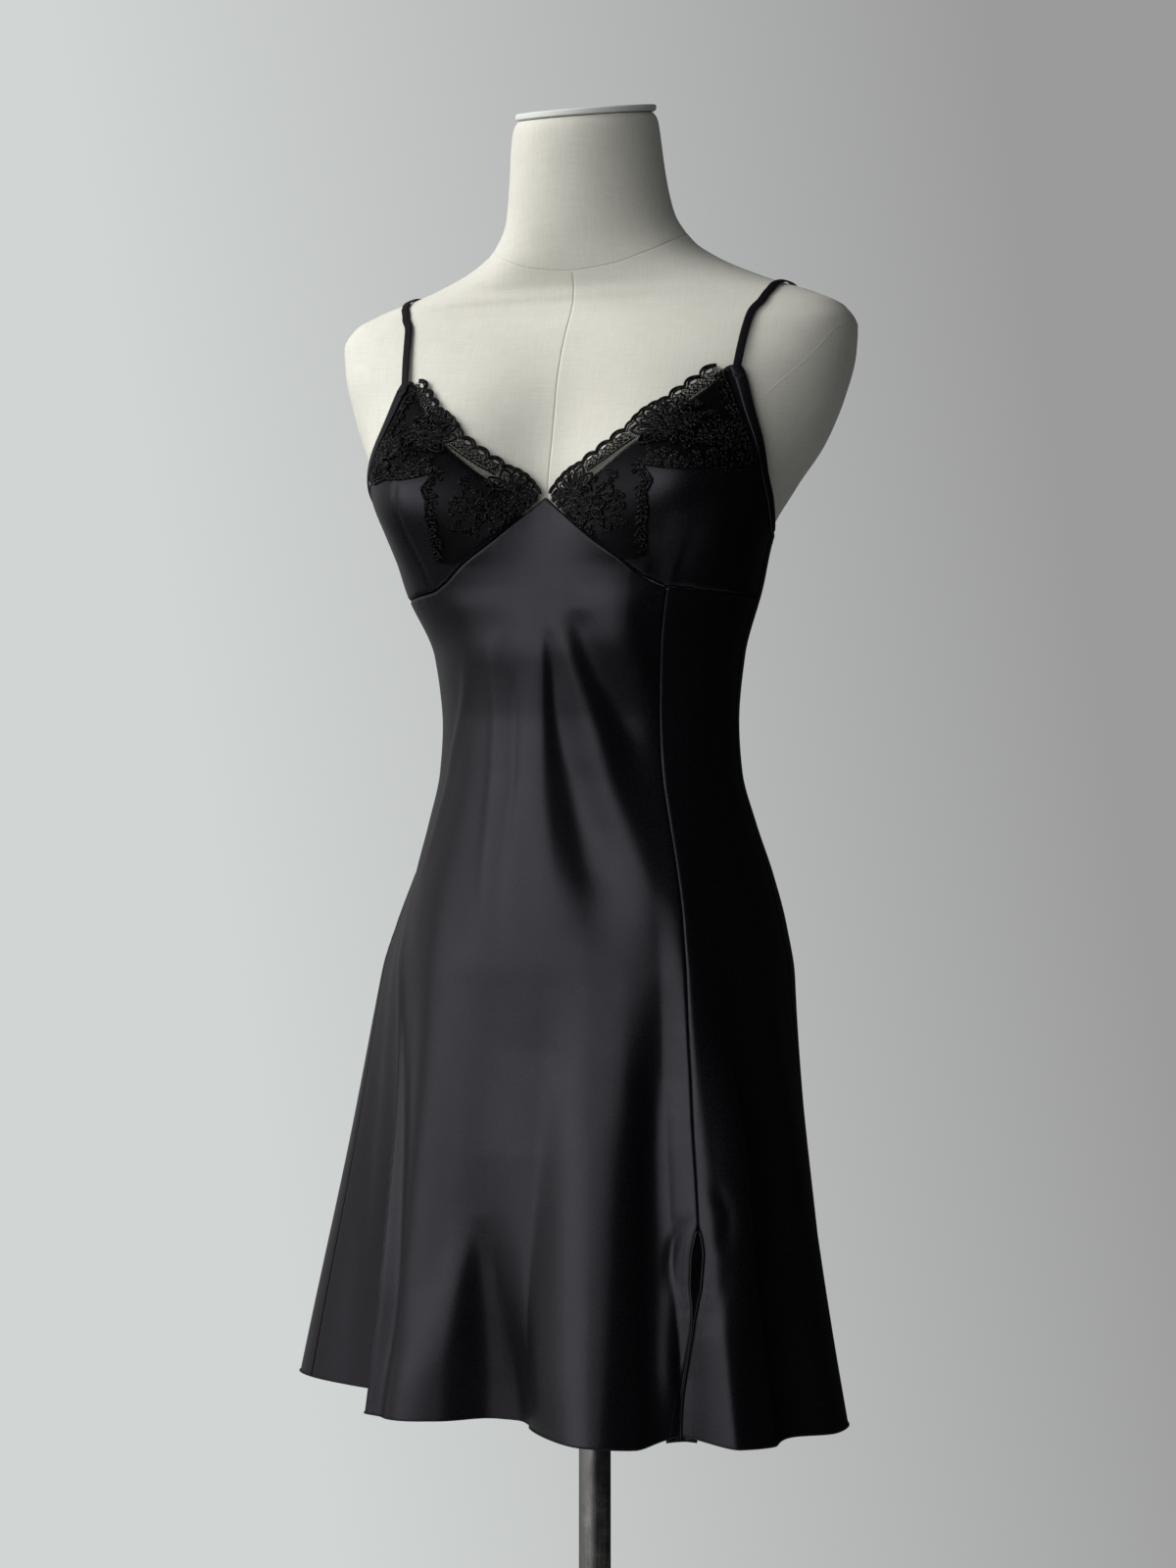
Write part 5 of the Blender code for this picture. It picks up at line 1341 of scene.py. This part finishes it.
def makeTorso():
    besides = np.array([0.22, 0.45, 0.8, 1.3])  # degrees beside a seam where the columns stand closer
    seams = (-90, 0, 90)
    azimuths = np.linspace(-180, 180, formShape["around"] + 1)
    for seam in seams:
        azimuths = azimuths[np.abs(azimuths - seam) > 1.6]
        azimuths = np.concatenate([azimuths, seam - besides, [seam], seam + besides])
    azimuths = np.sort(np.concatenate([azimuths, -180 + besides, 180 - besides]))
    rings = formShape["rings"]["height"]
    neck = smoothly(neckSeam, "azimuth", "height", np.abs(azimuths))
    close, band, bust = np.array([0.0004, 0.0009, 0.0016, 0.0028]), 0.004, 1.19
    low = np.linspace(0, 1, 96)[:-1]
    high = np.linspace(0, 1, 120)[:-1]
    top = np.linspace(0, 1, 64)[1:]
    columns = []
    for seamHeight in neck:
        columns.append(np.concatenate([
            rings[0] + (bust - rings[0]) * low, bust + (seamHeight - band - bust) * high,
            seamHeight - close[::-1], [seamHeight], seamHeight + close,
            seamHeight + band + (rings[-1] - seamHeight - band) * top,
        ]))
    height = np.array(columns).T
    azimuth = np.broadcast_to(azimuths, height.shape)
    arc = np.radians(1) * formRadius(azimuth, height)
    lift = groove((height - neck) * 1.4)
    for seam in (*seams, 180):
        lift = lift + groove(turned(azimuth - seam) * arc) * ramp((neck - 0.0005 - height) / 0.002)
    lift = np.maximum(lift, -seamLook["depth"])
    normals = normalOf(formPoint, azimuth, np.clip(height, rings[0] + 0.0013, rings[-1] - 0.0013))
    points = formPoint(azimuth, height) + normals * lift[..., None]
    middle = points[0].mean(0)
    under = [middle + (points[0] - middle) * share + np.array((0, 0, drop)) for share, drop in (
        (0.0, 0.0), (0.5, 0.0), (0.93, 0.0), (0.965, -0.0003), (0.985, 0.0), (0.996, 0.0016),
    )]
    points[0] += np.array((0, 0, 0.0040))
    points = np.concatenate([np.array(under), points])
    faces = gridFaces(points.shape[1] - 1, points.shape[0] - 1)
    return addPiece("linen_torso", points, faces, linen, clothUv(points))


torso = makeTorso()
pipings = []
for rows in armholeSeams.values():
    ring = curveThrough(np.stack([rows["azimuth"], rows["height"]], 1), 260)
    pipings.append(lineOn(formPoint, *ring.T, -seamLook["pipingSunk"], thick=seamLook["piping"]))
armholePiping = cordPiece("linen_armhole_piping", pipings, linen)

torsoTree = BVHTree.FromPolygons(
    [v.co for v in torso.data.vertices], [tuple(f.vertices) for f in torso.data.polygons],
)
straps = {word: makeStrap(f"satin_strap_{word}", side, torsoTree) for word, side in hands.items()}


def turnedPiece(name, profile, finish, around=96):
    turn = np.radians(np.linspace(0, 360, around + 1))
    radius, height = np.array(profile, float).T[..., None]
    points = np.stack([
        radius * np.cos(turn), radius * np.sin(turn), np.broadcast_to(height, (len(height), around + 1)),
    ], -1)
    return addPiece(name, points, gridFaces(around, len(profile) - 1), finish)


def softened(corners, radius=0.0012, steps=4):  # a turned profile with its corners rounded
    corners = np.array(corners, float)
    line = [corners[0]]
    for before, at, after in zip(corners, corners[1:], corners[2:]):
        reach = min(radius, np.linalg.norm(at - before) * 0.45, np.linalg.norm(after - at) * 0.45)
        start = at + (before - at) / np.linalg.norm(before - at) * reach
        end = at + (after - at) / np.linalg.norm(after - at) * reach
        for t in np.linspace(0, 1, steps + 1):
            line.append((1 - t) ** 2 * start + 2 * t * (1 - t) * at + t**2 * end)
    return line + [corners[-1]]


capProfile = [  # how far up and out from the neck's top ring
    (0.0005, -0.012), (0.0005, -0.0024), (0.0014, -0.0002), (0.0050, 0.0), (0.0060, -0.0012),
    (0.0061, -0.02), (0.0061, -0.0535),
]


def makeCap():
    azimuth = np.linspace(-180, 180, 145)
    top, at = formShape["rings"]["height"][-1], formShape["rings"]["height"][-2]
    rows = softened(capProfile, 0.0006)
    points = []
    for rise, out in rows:
        radius = np.maximum(formRadius(azimuth, at) + out, 0.0)
        points.append(roundPoint(azimuth, top, radius) + np.array((0, 0, rise)))
    return addPiece("painted_neck_cap", np.array(points), gridFaces(144, len(rows) - 1), capPaint)


neckCap = makeCap()
stand = {
    "poleRadius": 0.0125, "baseRadius": 0.18, "baseTop": 0.006, "hubTop": 0.036,
    "collarTop": 0.7796, "collarLow": 0.7446, "gap": 0.0004,
}
basePlate = turnedPiece("steel_base_plate", softened([
    (0, 0), (stand["baseRadius"], 0), (stand["baseRadius"], stand["baseTop"]), (0.032, stand["baseTop"]),
    (0.030, 0.010), (0.0225, 0.031), (0.020, stand["hubTop"]), (0, stand["hubTop"]),
]), steel, 128)
pole = turnedPiece("steel_pole", softened([
    (0, stand["hubTop"] + stand["gap"]), (stand["poleRadius"], stand["hubTop"] + stand["gap"]),
    (stand["poleRadius"], stand["collarLow"] - stand["gap"]), (0, stand["collarLow"] - stand["gap"]),
], 0.0008), steel)
collar = turnedPiece("steel_collar", softened([
    (0, stand["collarLow"]), (0.0175, stand["collarLow"]), (0.0175, 0.7716), (0.034, 0.7746),
    (0.035, 0.7756), (0.035, stand["collarTop"]), (0, stand["collarTop"]),
]), steel)
print("form and stand built")


# The lace: a fine net cut to its scalloped outline, with corded motifs sewn over it

laceShape = {
    "edge": table("azimuth height", [
        (2.0, 1.1993), (10, 1.2118), (22, 1.2280), (30, 1.2415), (38, 1.2565), (49, 1.2750),
        (55, 1.2855), (58.8, 1.2935),
    ]),
    "border": table("azimuth height", [
        (60.4, 1.2880), (60.8, 1.2750), (61.1, 1.2580), (62.0, 1.2400), (63.2, 1.2250), (62.0, 1.2140),
        (57.0, 1.2105), (50.0, 1.2125), (44.0, 1.2110), (39.0, 1.2125), (35.5, 1.2150), (37.8, 1.2040),
        (36.6, 1.1940), (37.6, 1.1820), (37.8, 1.1700), (39.0, 1.1590), (40.0, 1.1500), (36.0, 1.1470),
    ]),
    "seam": (32, 26, 20, 14, 8, 3.5), "overSeam": 0.0015,
    "units": 4, "loops": 3, "fanRise": 0.0035, "loopRise": 0.0030, "bumps": 5, "bumpRise": 0.0008,
    "holeLong": 0.0031, "holeWide": 0.0019, "net": 0.0008, "cord": 0.0011, "step": 0.0032, "fullness": 1.28,
}


def flatPoints(rows):
    return np.stack([rows["azimuth"] * cupShape["flatArc"], rows["height"]], 1)


def edgePlaces(share):  # the straight line under the scallops: places, and the way along and outwards
    line = respaced(flatPoints(laceShape["edge"]), 0.0008)
    run = np.linspace(0, 1, len(line))
    at, after, before = (
        np.stack([np.interp(place, run, column) for column in line.T], 1)
        for place in (share, np.minimum(share + 0.01, 1), np.maximum(share - 0.01, 0))
    )
    along = unit(after - before)
    return at, along, np.stack([-along[:, 1], along[:, 0]], 1)


def scallop(share):  # how far the lace stands out over that line
    turn = np.minimum(share, 0.99999) * laceShape["units"]
    within = turn % 1.0
    bumps = np.abs(np.sin(np.pi * laceShape["bumps"] * within)) * laceShape["bumpRise"]
    fan = laceShape["fanRise"] * np.sin(np.pi * within) ** 0.7 + bumps
    loops = laceShape["loopRise"] * np.abs(np.sin(np.pi * laceShape["loops"] * within)) ** 0.7
    return np.where(turn.astype(int) % 2 == 0, fan, loops)


def scallopedLine(inset=0.0, low=0.0, high=1.0, count=360):
    share = np.linspace(low, high, count)
    at, _, out = edgePlaces(share)
    return at + out * (scallop(share) - inset)[:, None]


def loopMiddles():
    count = laceShape["units"] * laceShape["loops"]
    share = (np.arange(count) + 0.5) * (1 / count)
    share = share[(share * laceShape["units"]).astype(int) % 2 == 1]
    at, along, out = edgePlaces(share)
    return at - out * 0.0004, along, out


def ovalAt(middle, along, out, long, wide, count=18):
    turn = np.linspace(0, 2 * np.pi, count, endpoint=False)[:, None]
    return middle + along * long * np.cos(turn) + out * wide * np.sin(turn)


def laceOutline():
    seam = np.array(laceShape["seam"], float)
    under = np.stack([seam * cupShape["flatArc"], cupSeamHeight(seam) + laceShape["overSeam"]], 1)
    return np.concatenate([scallopedLine(), flatPoints(laceShape["border"]), under])


laceHoles = [ovalAt(*place, laceShape["holeLong"], laceShape["holeWide"]) for place in zip(*loopMiddles())]
laceFlat = cutFlat(laceOutline(), laceHoles, laceShape["step"])


def laidLines(side, flatLines):  # flat lines of the pattern, carried onto a cup
    sizes = [len(line["flat"]) for line in flatLines]
    flat = np.concatenate([line["flat"] for line in flatLines])
    rise = np.concatenate([np.full(n, line.get("rise", 0.0)) for n, line in zip(sizes, flatLines)])
    points = np.split(cupPoint(*onCup(side, flat), laceShape["cord"] + rise), np.cumsum(sizes)[:-1])
    return [
        {"points": p, "thick": line["thick"] * laceShape["fullness"], "closed": line.get("closed", False)}
        for p, line in zip(points, flatLines)
    ]


def corded(line, thick=0.00045, closed=False, rise=0.0, step=0.0008):
    line = np.asarray(line, float)
    if closed:
        line = np.concatenate([line, line[:1]])
    line = respaced(line, step)
    return {"flat": line[:-1] if closed else line, "thick": thick, "closed": closed, "rise": rise}


def way(degrees):
    return np.array([math.cos(math.radians(degrees)), math.sin(math.radians(degrees))])


def petal(base, degrees, length, width, blunt=0.8, count=26):
    share = np.sin(np.linspace(0, np.pi / 2, count)) ** 1.2
    half = width / 2 * np.sin(np.pi * share ** (1 / blunt)) ** 0.8
    half[-1] = 0
    middle = base + share[:, None] * way(degrees) * length
    out = half[:, None] * way(degrees + 90)
    return np.concatenate([middle - out, (middle + out)[-2:0:-1]])


motifs = {
    "fans": (0, 2), "fanBase": 0.0150, "fanTurns": (-87, -58, -29, 0, 29, 58, 87), "fanWidth": 0.0084,
    "fanFoot": 0.0026, "fanLongest": 0.0185, "footLeaves": 14, "footLeaf": (0.0043, 0.0023),
    "bandInset": 0.0088, "bandMiddle": 0.0052, "bandWave": 0.0011,
    "wreaths": ((0.56, 12, 0.0058), (0.78, 18, 0.0056), (0.97, 22, 0.0048)),  # reach, leaves, their length
    "borderInset": 0.0040, "borderStep": 0.0006, "leafEvery": 0.0040, "borderLeaf": 0.0041,
    "picotEvery": 0.0034, "stemWave": 0.011,
    "clusters": table("azimuth height reach turn", [
        (21.0, 1.1865, 0.0190, 10), (46.5, 1.2495, 0.0180, 40), (56.5, 1.2330, 0.0125, 75),
        (40.0, 1.2165, 0.0075, 20), (7.6, 1.1918, 0.0066, 15), (14.0, 1.1850, 0.0085, 50),
    ]),
    "sprigs": table("azimuth height turn length", [
        (29.0, 1.2080, 150, 0.0075), (30.5, 1.1960, 195, 0.0080), (32.0, 1.1760, 215, 0.0065),
        (52.0, 1.2230, 250, 0.0070), (47.0, 1.2255, 280, 0.0065), (36.0, 1.2290, 330, 0.0060),
    ]),
}
chance = np.random.default_rng(11)


def spindle(base, degrees, length, thick=0.00085, bend=0.12, count=8):  # a filled leaf
    share = np.linspace(0, 1, count)
    bow = bend * length * np.sin(np.pi * share)
    line = base + share[:, None] * way(degrees) * length + bow[:, None] * way(degrees + 90)
    return {"flat": line, "thick": np.maximum(thick * np.sin(np.pi * share) ** 0.7, 0.00018), "rise": 0.0}


def openPetal(base, degrees, length, width, thick=0.00045, rise=0.0):
    return corded(petal(base, degrees, length, width), thick, True, rise)


def ringAt(middle, radius, thick=0.0004):
    turn = np.linspace(0, 2 * np.pi, 12, endpoint=False)
    flat = middle + radius * np.stack([np.cos(turn), np.sin(turn)], 1)
    return {"flat": flat, "thick": thick, "closed": True, "rise": 0.0002}


def fanLines(unitNumber):
    units = laceShape["units"]
    at, along, out = (value[0] for value in edgePlaces(np.array([(unitNumber + 0.5) / units])))
    base = at - out * motifs["fanBase"]
    facing = math.degrees(math.atan2(out[1], out[0]))
    edge = scallopedLine(0.0015, unitNumber / units, (unitNumber + 1) / units, 120)
    lines = [ringAt(base, 0.0022, 0.0005), ringAt(base, 0.0010)]
    for turn in motifs["fanTurns"]:
        degrees = facing + turn
        away = edge - base
        aligned = np.argmax((away @ way(degrees)) / np.linalg.norm(away, axis=1))
        length = min(np.linalg.norm(away[aligned]) - motifs["fanFoot"], motifs["fanLongest"])
        width = motifs["fanWidth"] * (1.0 if abs(turn) < 60 else 0.85)
        start = base + way(degrees) * motifs["fanFoot"]
        inner = start + way(degrees) * length * 0.32
        lines.append(openPetal(start, degrees, length, width, 0.00086))
        lines.append(openPetal(inner, degrees, length * 0.46, width * 0.38, 0.00050))
        lines.append(spindle(start + way(degrees) * length * 0.1, degrees + 2, length * 0.3, 0.0005))
    for turn in motifs["fanTurns"][:-1]:
        lines.append(ringAt(base + way(facing + turn + 13.5) * 0.0152, 0.0008, 0.0003))
    for turn in range(-100, 101, 25):
        lines.append(spindle(base + way(facing + 180 + turn) * 0.0028, facing + 180 + turn, 0.0052, 0.0007))
    longest, width = motifs["footLeaf"]
    for k in range(motifs["footLeaves"]):  # small leaves behind the fan's foot
        place = base + along * (k - 6.5) * 0.0014 - out * chance.uniform(0.0012, 0.0052)
        aim = facing + chance.choice((-130, -95, 95, 130)) + chance.uniform(-20, 20)
        length = longest * chance.uniform(0.8, 1.2)
        lines.append(openPetal(place, aim, length, width, 0.00050, chance.uniform(0, 0.0004)))
    return lines


def bandLines(unitNumber):  # the loops' own row of rings, and the cord that the band ends on
    low, high = unitNumber / laceShape["units"], (unitNumber + 1) / laceShape["units"]
    at, _, out = edgePlaces(np.linspace(low, high, 90))
    wave = motifs["bandWave"] * np.sin(np.linspace(0, 1, 90) * np.pi * 11)[:, None]
    inset, middle = motifs["bandInset"], motifs["bandMiddle"]
    lines = [
        corded(at - out * away, thick) for away, thick in (
            (inset, 0.0006), (inset - 0.0016, 0.00035), (middle + wave, 0.00034), (middle - wave, 0.00034),
        )
    ]
    places, _, outs = edgePlaces(np.linspace(low, high, 13)[1:-1])
    for place, outwards in zip(places, outs):
        lines.append(ringAt(place - outwards * 0.0029, 0.0008, 0.00034))
        lines.append(spindle(place - outwards * 0.0066, chance.uniform(0, 360), 0.0021, 0.0006))
    return lines


def clusterLines(centre, reach, turn):  # a rose of petals in a thicket of small leaves
    lines = [ringAt(centre, 0.0011, 0.0005)]
    for k in range(6):
        degrees = turn + 60 * k + chance.uniform(-6, 6)
        start = centre + way(degrees) * 0.0012
        length = reach * 0.46 * chance.uniform(0.92, 1.08)
        inner = start + way(degrees) * length * 0.28
        lines.append(openPetal(start, degrees, length, length * 0.68, 0.00076, 0.0003))
        lines.append(openPetal(inner, degrees, length * 0.50, length * 0.28, 0.00046, 0.0003))
    for share, count, size in motifs["wreaths"]:
        for k in range(count):
            degrees = turn + 360 / count * (k + chance.uniform(-0.3, 0.3))
            start = centre + way(degrees) * reach * share * chance.uniform(0.90, 1.06)
            aim = degrees + chance.choice((-62, -30, 24, 58)) + chance.uniform(-14, 14)
            length = size * chance.uniform(0.8, 1.2)
            if chance.random() < 0.62:
                lines.append(openPetal(start, aim, length, length * 0.55, 0.00056, chance.uniform(0, 0.0004)))
            else:
                lines.append(spindle(start, aim, length * 0.95, 0.00075, chance.choice((-0.16, 0.16))))
    return lines


def borderLines():  # the leafy cord round the lace's inner edge
    step = motifs["borderStep"]
    border = respaced(curveThrough(flatPoints(laceShape["border"])[:-1], 400), step)
    along = unit(np.gradient(border, axis=0))
    inward = np.stack([along[:, 1], -along[:, 0]], 1)
    run = np.arange(len(border)) * step
    picot = 0.0008 + 0.0006 * np.abs(np.sin(np.pi * run / motifs["picotEvery"]))
    inset = motifs["borderInset"] + 0.0005 * np.sin(2 * np.pi * run / motifs["stemWave"])
    stem = respaced(border + inward * inset[:, None], step)
    ahead = unit(np.gradient(stem, axis=0))
    lines = [corded(border + inward * picot[:, None], 0.00062), corded(stem, 0.00055)]
    every = round(motifs["leafEvery"] / step)
    for k in range(3, len(stem) - 3, every):
        heading = math.degrees(math.atan2(ahead[k, 1], ahead[k, 0]))
        for aside in (1, -1):
            aim = heading + aside * (48 + chance.uniform(-12, 12))
            length = motifs["borderLeaf"] * chance.uniform(0.85, 1.15)
            if (k // every + aside) % 4 < 2:
                lines.append(openPetal(stem[k], aim, length, length * 0.60, 0.00052))
            else:
                lines.append(spindle(stem[k], aim, length, 0.00078))
        if (k // every) % 3 == 0:
            lines.append(ringAt(stem[k] + way(heading + 90) * 0.0030, 0.0008, 0.00034))
    return lines


def sprigLines(place, turn, length):
    lines = [spindle(place, turn, length, 0.0004, 0.2)]
    for share, aside in ((0.15, 60), (0.35, -60), (0.55, 55), (0.75, -50), (1.0, 0)):
        lines.append(openPetal(place + way(turn) * length * share, turn + aside, 0.0034, 0.0020, 0.00036))
    return lines


def laceLines():
    lines = [corded(scallopedLine(0.0005), 0.00088), corded(scallopedLine(0.0024, 0.008, 0.992), 0.00056)]
    for number in range(laceShape["units"]):
        lines += fanLines(number) if number in motifs["fans"] else bandLines(number)
    lines += [corded(hole, 0.0004, True) for hole in laceHoles]
    for azimuth, height, reach, turn in zip(*motifs["clusters"].values()):
        lines += clusterLines(np.array((azimuth * cupShape["flatArc"], height)), reach, turn)
    for azimuth, height, turn, length in zip(*motifs["sprigs"].values()):
        lines += sprigLines(np.array((azimuth * cupShape["flatArc"], height)), turn, length)
    lines += borderLines()
    outline = laceOutline()
    return [line for line in lines if insideLine(line["flat"], outline).mean() > 0.93]


laceNets = {
    word: layOn(f"lace_net_{word}", side, *laceFlat, lambda flat: laceShape["net"], netting)
    for word, side in hands.items()
}
lacePattern = laceLines()
laceCords = {
    word: cordPiece(f"lace_cords_{word}", laidLines(side, lacePattern), laceCord, 5)
    for word, side in hands.items()
}
print("lace laid")


# What each piece stands for, and what it rides on

standsFor = {
    frontPanel: ("front_panel", "satin"), sideFrontPanel: ("side_front_panel", "satin"),
    backPanel: ("back_panel", "satin"), torso: ("form_torso", "linen"), neckCap: ("neck_cap", "cap_paint"),
    pole: ("pole", "steel"), collar: ("form_collar", "steel"), basePlate: ("base_plate", "steel"),
}
for word in hands:
    standsFor[cups[word]] = (f"cup_{word}", "satin")
    standsFor[laceNets[word]] = (f"lace_{word}", "lace")
    standsFor[bindings[word]] = (f"binding_{word}", "satin")
    standsFor[straps[word]] = (f"strap_{word}", "satin")
for piece, (node, finish) in standsFor.items():
    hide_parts(node)
    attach(piece, "root")
trims = {
    "satin": [*slitEdges.values(), *hemRolls.values(), hemStitches, seamThread, *bindingThreads.values()],
    "lace": list(laceCords.values()), "linen": [armholePiping],
}
for finish, pieces in trims.items():
    for piece in pieces:
        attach(piece, "root")


# The stage: a plain pale floor, a background painted darker towards the right as painted shade, and soft
# studio light

stageLook = {
    "floor": (0.52, 0.54, 0.53), "floorRadius": 1.45, "floorFade": 0.55,
    # the camera's backdrop, pale at the left and darker at the right: painted shade
    "left": (0.640, 0.668, 0.660), "right": (0.325, 0.328, 0.325),
    "softLeft": (0.300, 0.305, 0.308), "softRight": (0.084, 0.086, 0.089),
    "shineLeft": (0.440, 0.445, 0.450), "shineRight": (0.011, 0.011, 0.013), "lowShine": 0.12,
    "turn": 21, "tilt": 0.18,
}
cameraLook = {
    "lens": 74.6, "sensor": 36, "place": (0.914, -2.381, 0.95), "tilt": 90.69, "turn": 21.121,
}


def makeFloor():
    floor = turnedPiece("floor", [(0, -0.0002), (stageLook["floorRadius"], -0.0002)], steel, 128)
    made, tree, shader = material("paleFloor", stageLook["floor"], 0.7, specular=0.2)
    place = objectPlace(tree)
    far = addNode(tree, "ShaderNodeVectorMath", {0: place}, operation="LENGTH").outputs["Value"]
    edge = stageLook["floorRadius"] * 0.98
    share = mapRange(tree, far, stageLook["floorFade"], edge, 1.0, 0.0)
    tree.links.new(share, shader.inputs["Alpha"])
    grain = noiseNode(tree, place, 260.0, 3.0)
    tree.links.new(mapRange(tree, grain, 0.3, 0.7, 0.62, 0.78), shader.inputs["Roughness"])
    floor.data.materials.clear()
    floor.data.materials.append(made)


def makeWorld():  # one backdrop for the camera, painted darker towards the right as painted shade, one for soft light and one for what shines
    world = bpy.data.worlds.new("studio")
    world.use_nodes = True
    bpy.context.scene.world = world
    tree = world.node_tree
    tree.nodes.clear()
    way = tree.nodes.new("ShaderNodeTexCoord").outputs["Generated"]
    turn = math.radians(stageLook["turn"])
    inputs = {0: way, 1: (math.cos(turn), math.sin(turn), stageLook["tilt"])}
    across = addNode(tree, "ShaderNodeVectorMath", inputs, operation="DOT_PRODUCT").outputs["Value"]

    def backdrop(low, high, left, right):
        share = mapRange(tree, across, low, high, 0, 1)
        return addNode(tree, "ShaderNodeBackground", {
            0: colourBetween(tree, share, stageLook[left], stageLook[right]),
        })

    def either(ray, first, second):
        rays = tree.nodes.new("ShaderNodeLightPath")
        return addNode(tree, "ShaderNodeMixShader", {
            0: rays.outputs[ray], 1: first.outputs[0], 2: second.outputs[0],
        })

    # painted shade: the backdrop the camera sees darkens towards the right
    shown = backdrop(-0.12, 0.16, "left", "right")
    soft = backdrop(-0.9, 0.15, "softLeft", "softRight")
    shine = backdrop(-0.9, 0.15, "shineLeft", "shineRight")
    height = addNode(tree, "ShaderNodeSeparateXYZ", {0: way}).outputs["Z"]
    tree.links.new(mapRange(tree, height, -0.34, -0.04, stageLook["lowShine"], 1), shine.inputs[1])
    seen = either("Is Camera Ray", either("Is Glossy Ray", soft, shine), shown)
    addNode(tree, "ShaderNodeOutputWorld", {0: seen.outputs[0]})


def addLight(name, azimuth, distance, height, size, power, colour=(1, 1, 1), aim=(0, 0, 1.0), shines=True):
    lamp = bpy.data.lights.new(name, "AREA")
    lamp.shape = "RECTANGLE"
    lamp.size, lamp.size_y = size
    lamp.energy = power
    lamp.color = colour
    piece = linked(name, lamp)
    turn = math.radians(azimuth)
    piece.location = (distance * math.sin(turn), -distance * math.cos(turn), height)
    piece.rotation_euler = (Vector(aim) - piece.location).to_track_quat("-Z", "Y").to_euler()
    piece.visible_camera = False
    piece.visible_glossy = shines


makeFloor()
makeWorld()
addLight("frontLight", -31, 8.0, 2.8, (12.4, 5.2), 385, (1.0, 0.995, 0.975), (0, 0, 2.8))
addLight("skyLight", -70, 2.6, 3.5, (2.4, 2.2), 106, (1.0, 0.995, 0.98), shines=False)
addLight("backFill", -165, 3.4, 1.6, (2.0, 2.0), 26, shines=False)

camera = linked("camera", bpy.data.cameras.new("camera"))
camera.data.sensor_fit = "AUTO"
camera.data.sensor_width = cameraLook["sensor"]
camera.data.lens = cameraLook["lens"]
camera.data.dof.use_dof = False
camera.location = cameraLook["place"]
camera.rotation_euler = (math.radians(cameraLook["tilt"]), 0, math.radians(cameraLook["turn"]))
bpy.context.scene.camera = camera
bpy.context.scene.view_settings.view_transform = "Standard"
print("stage set")
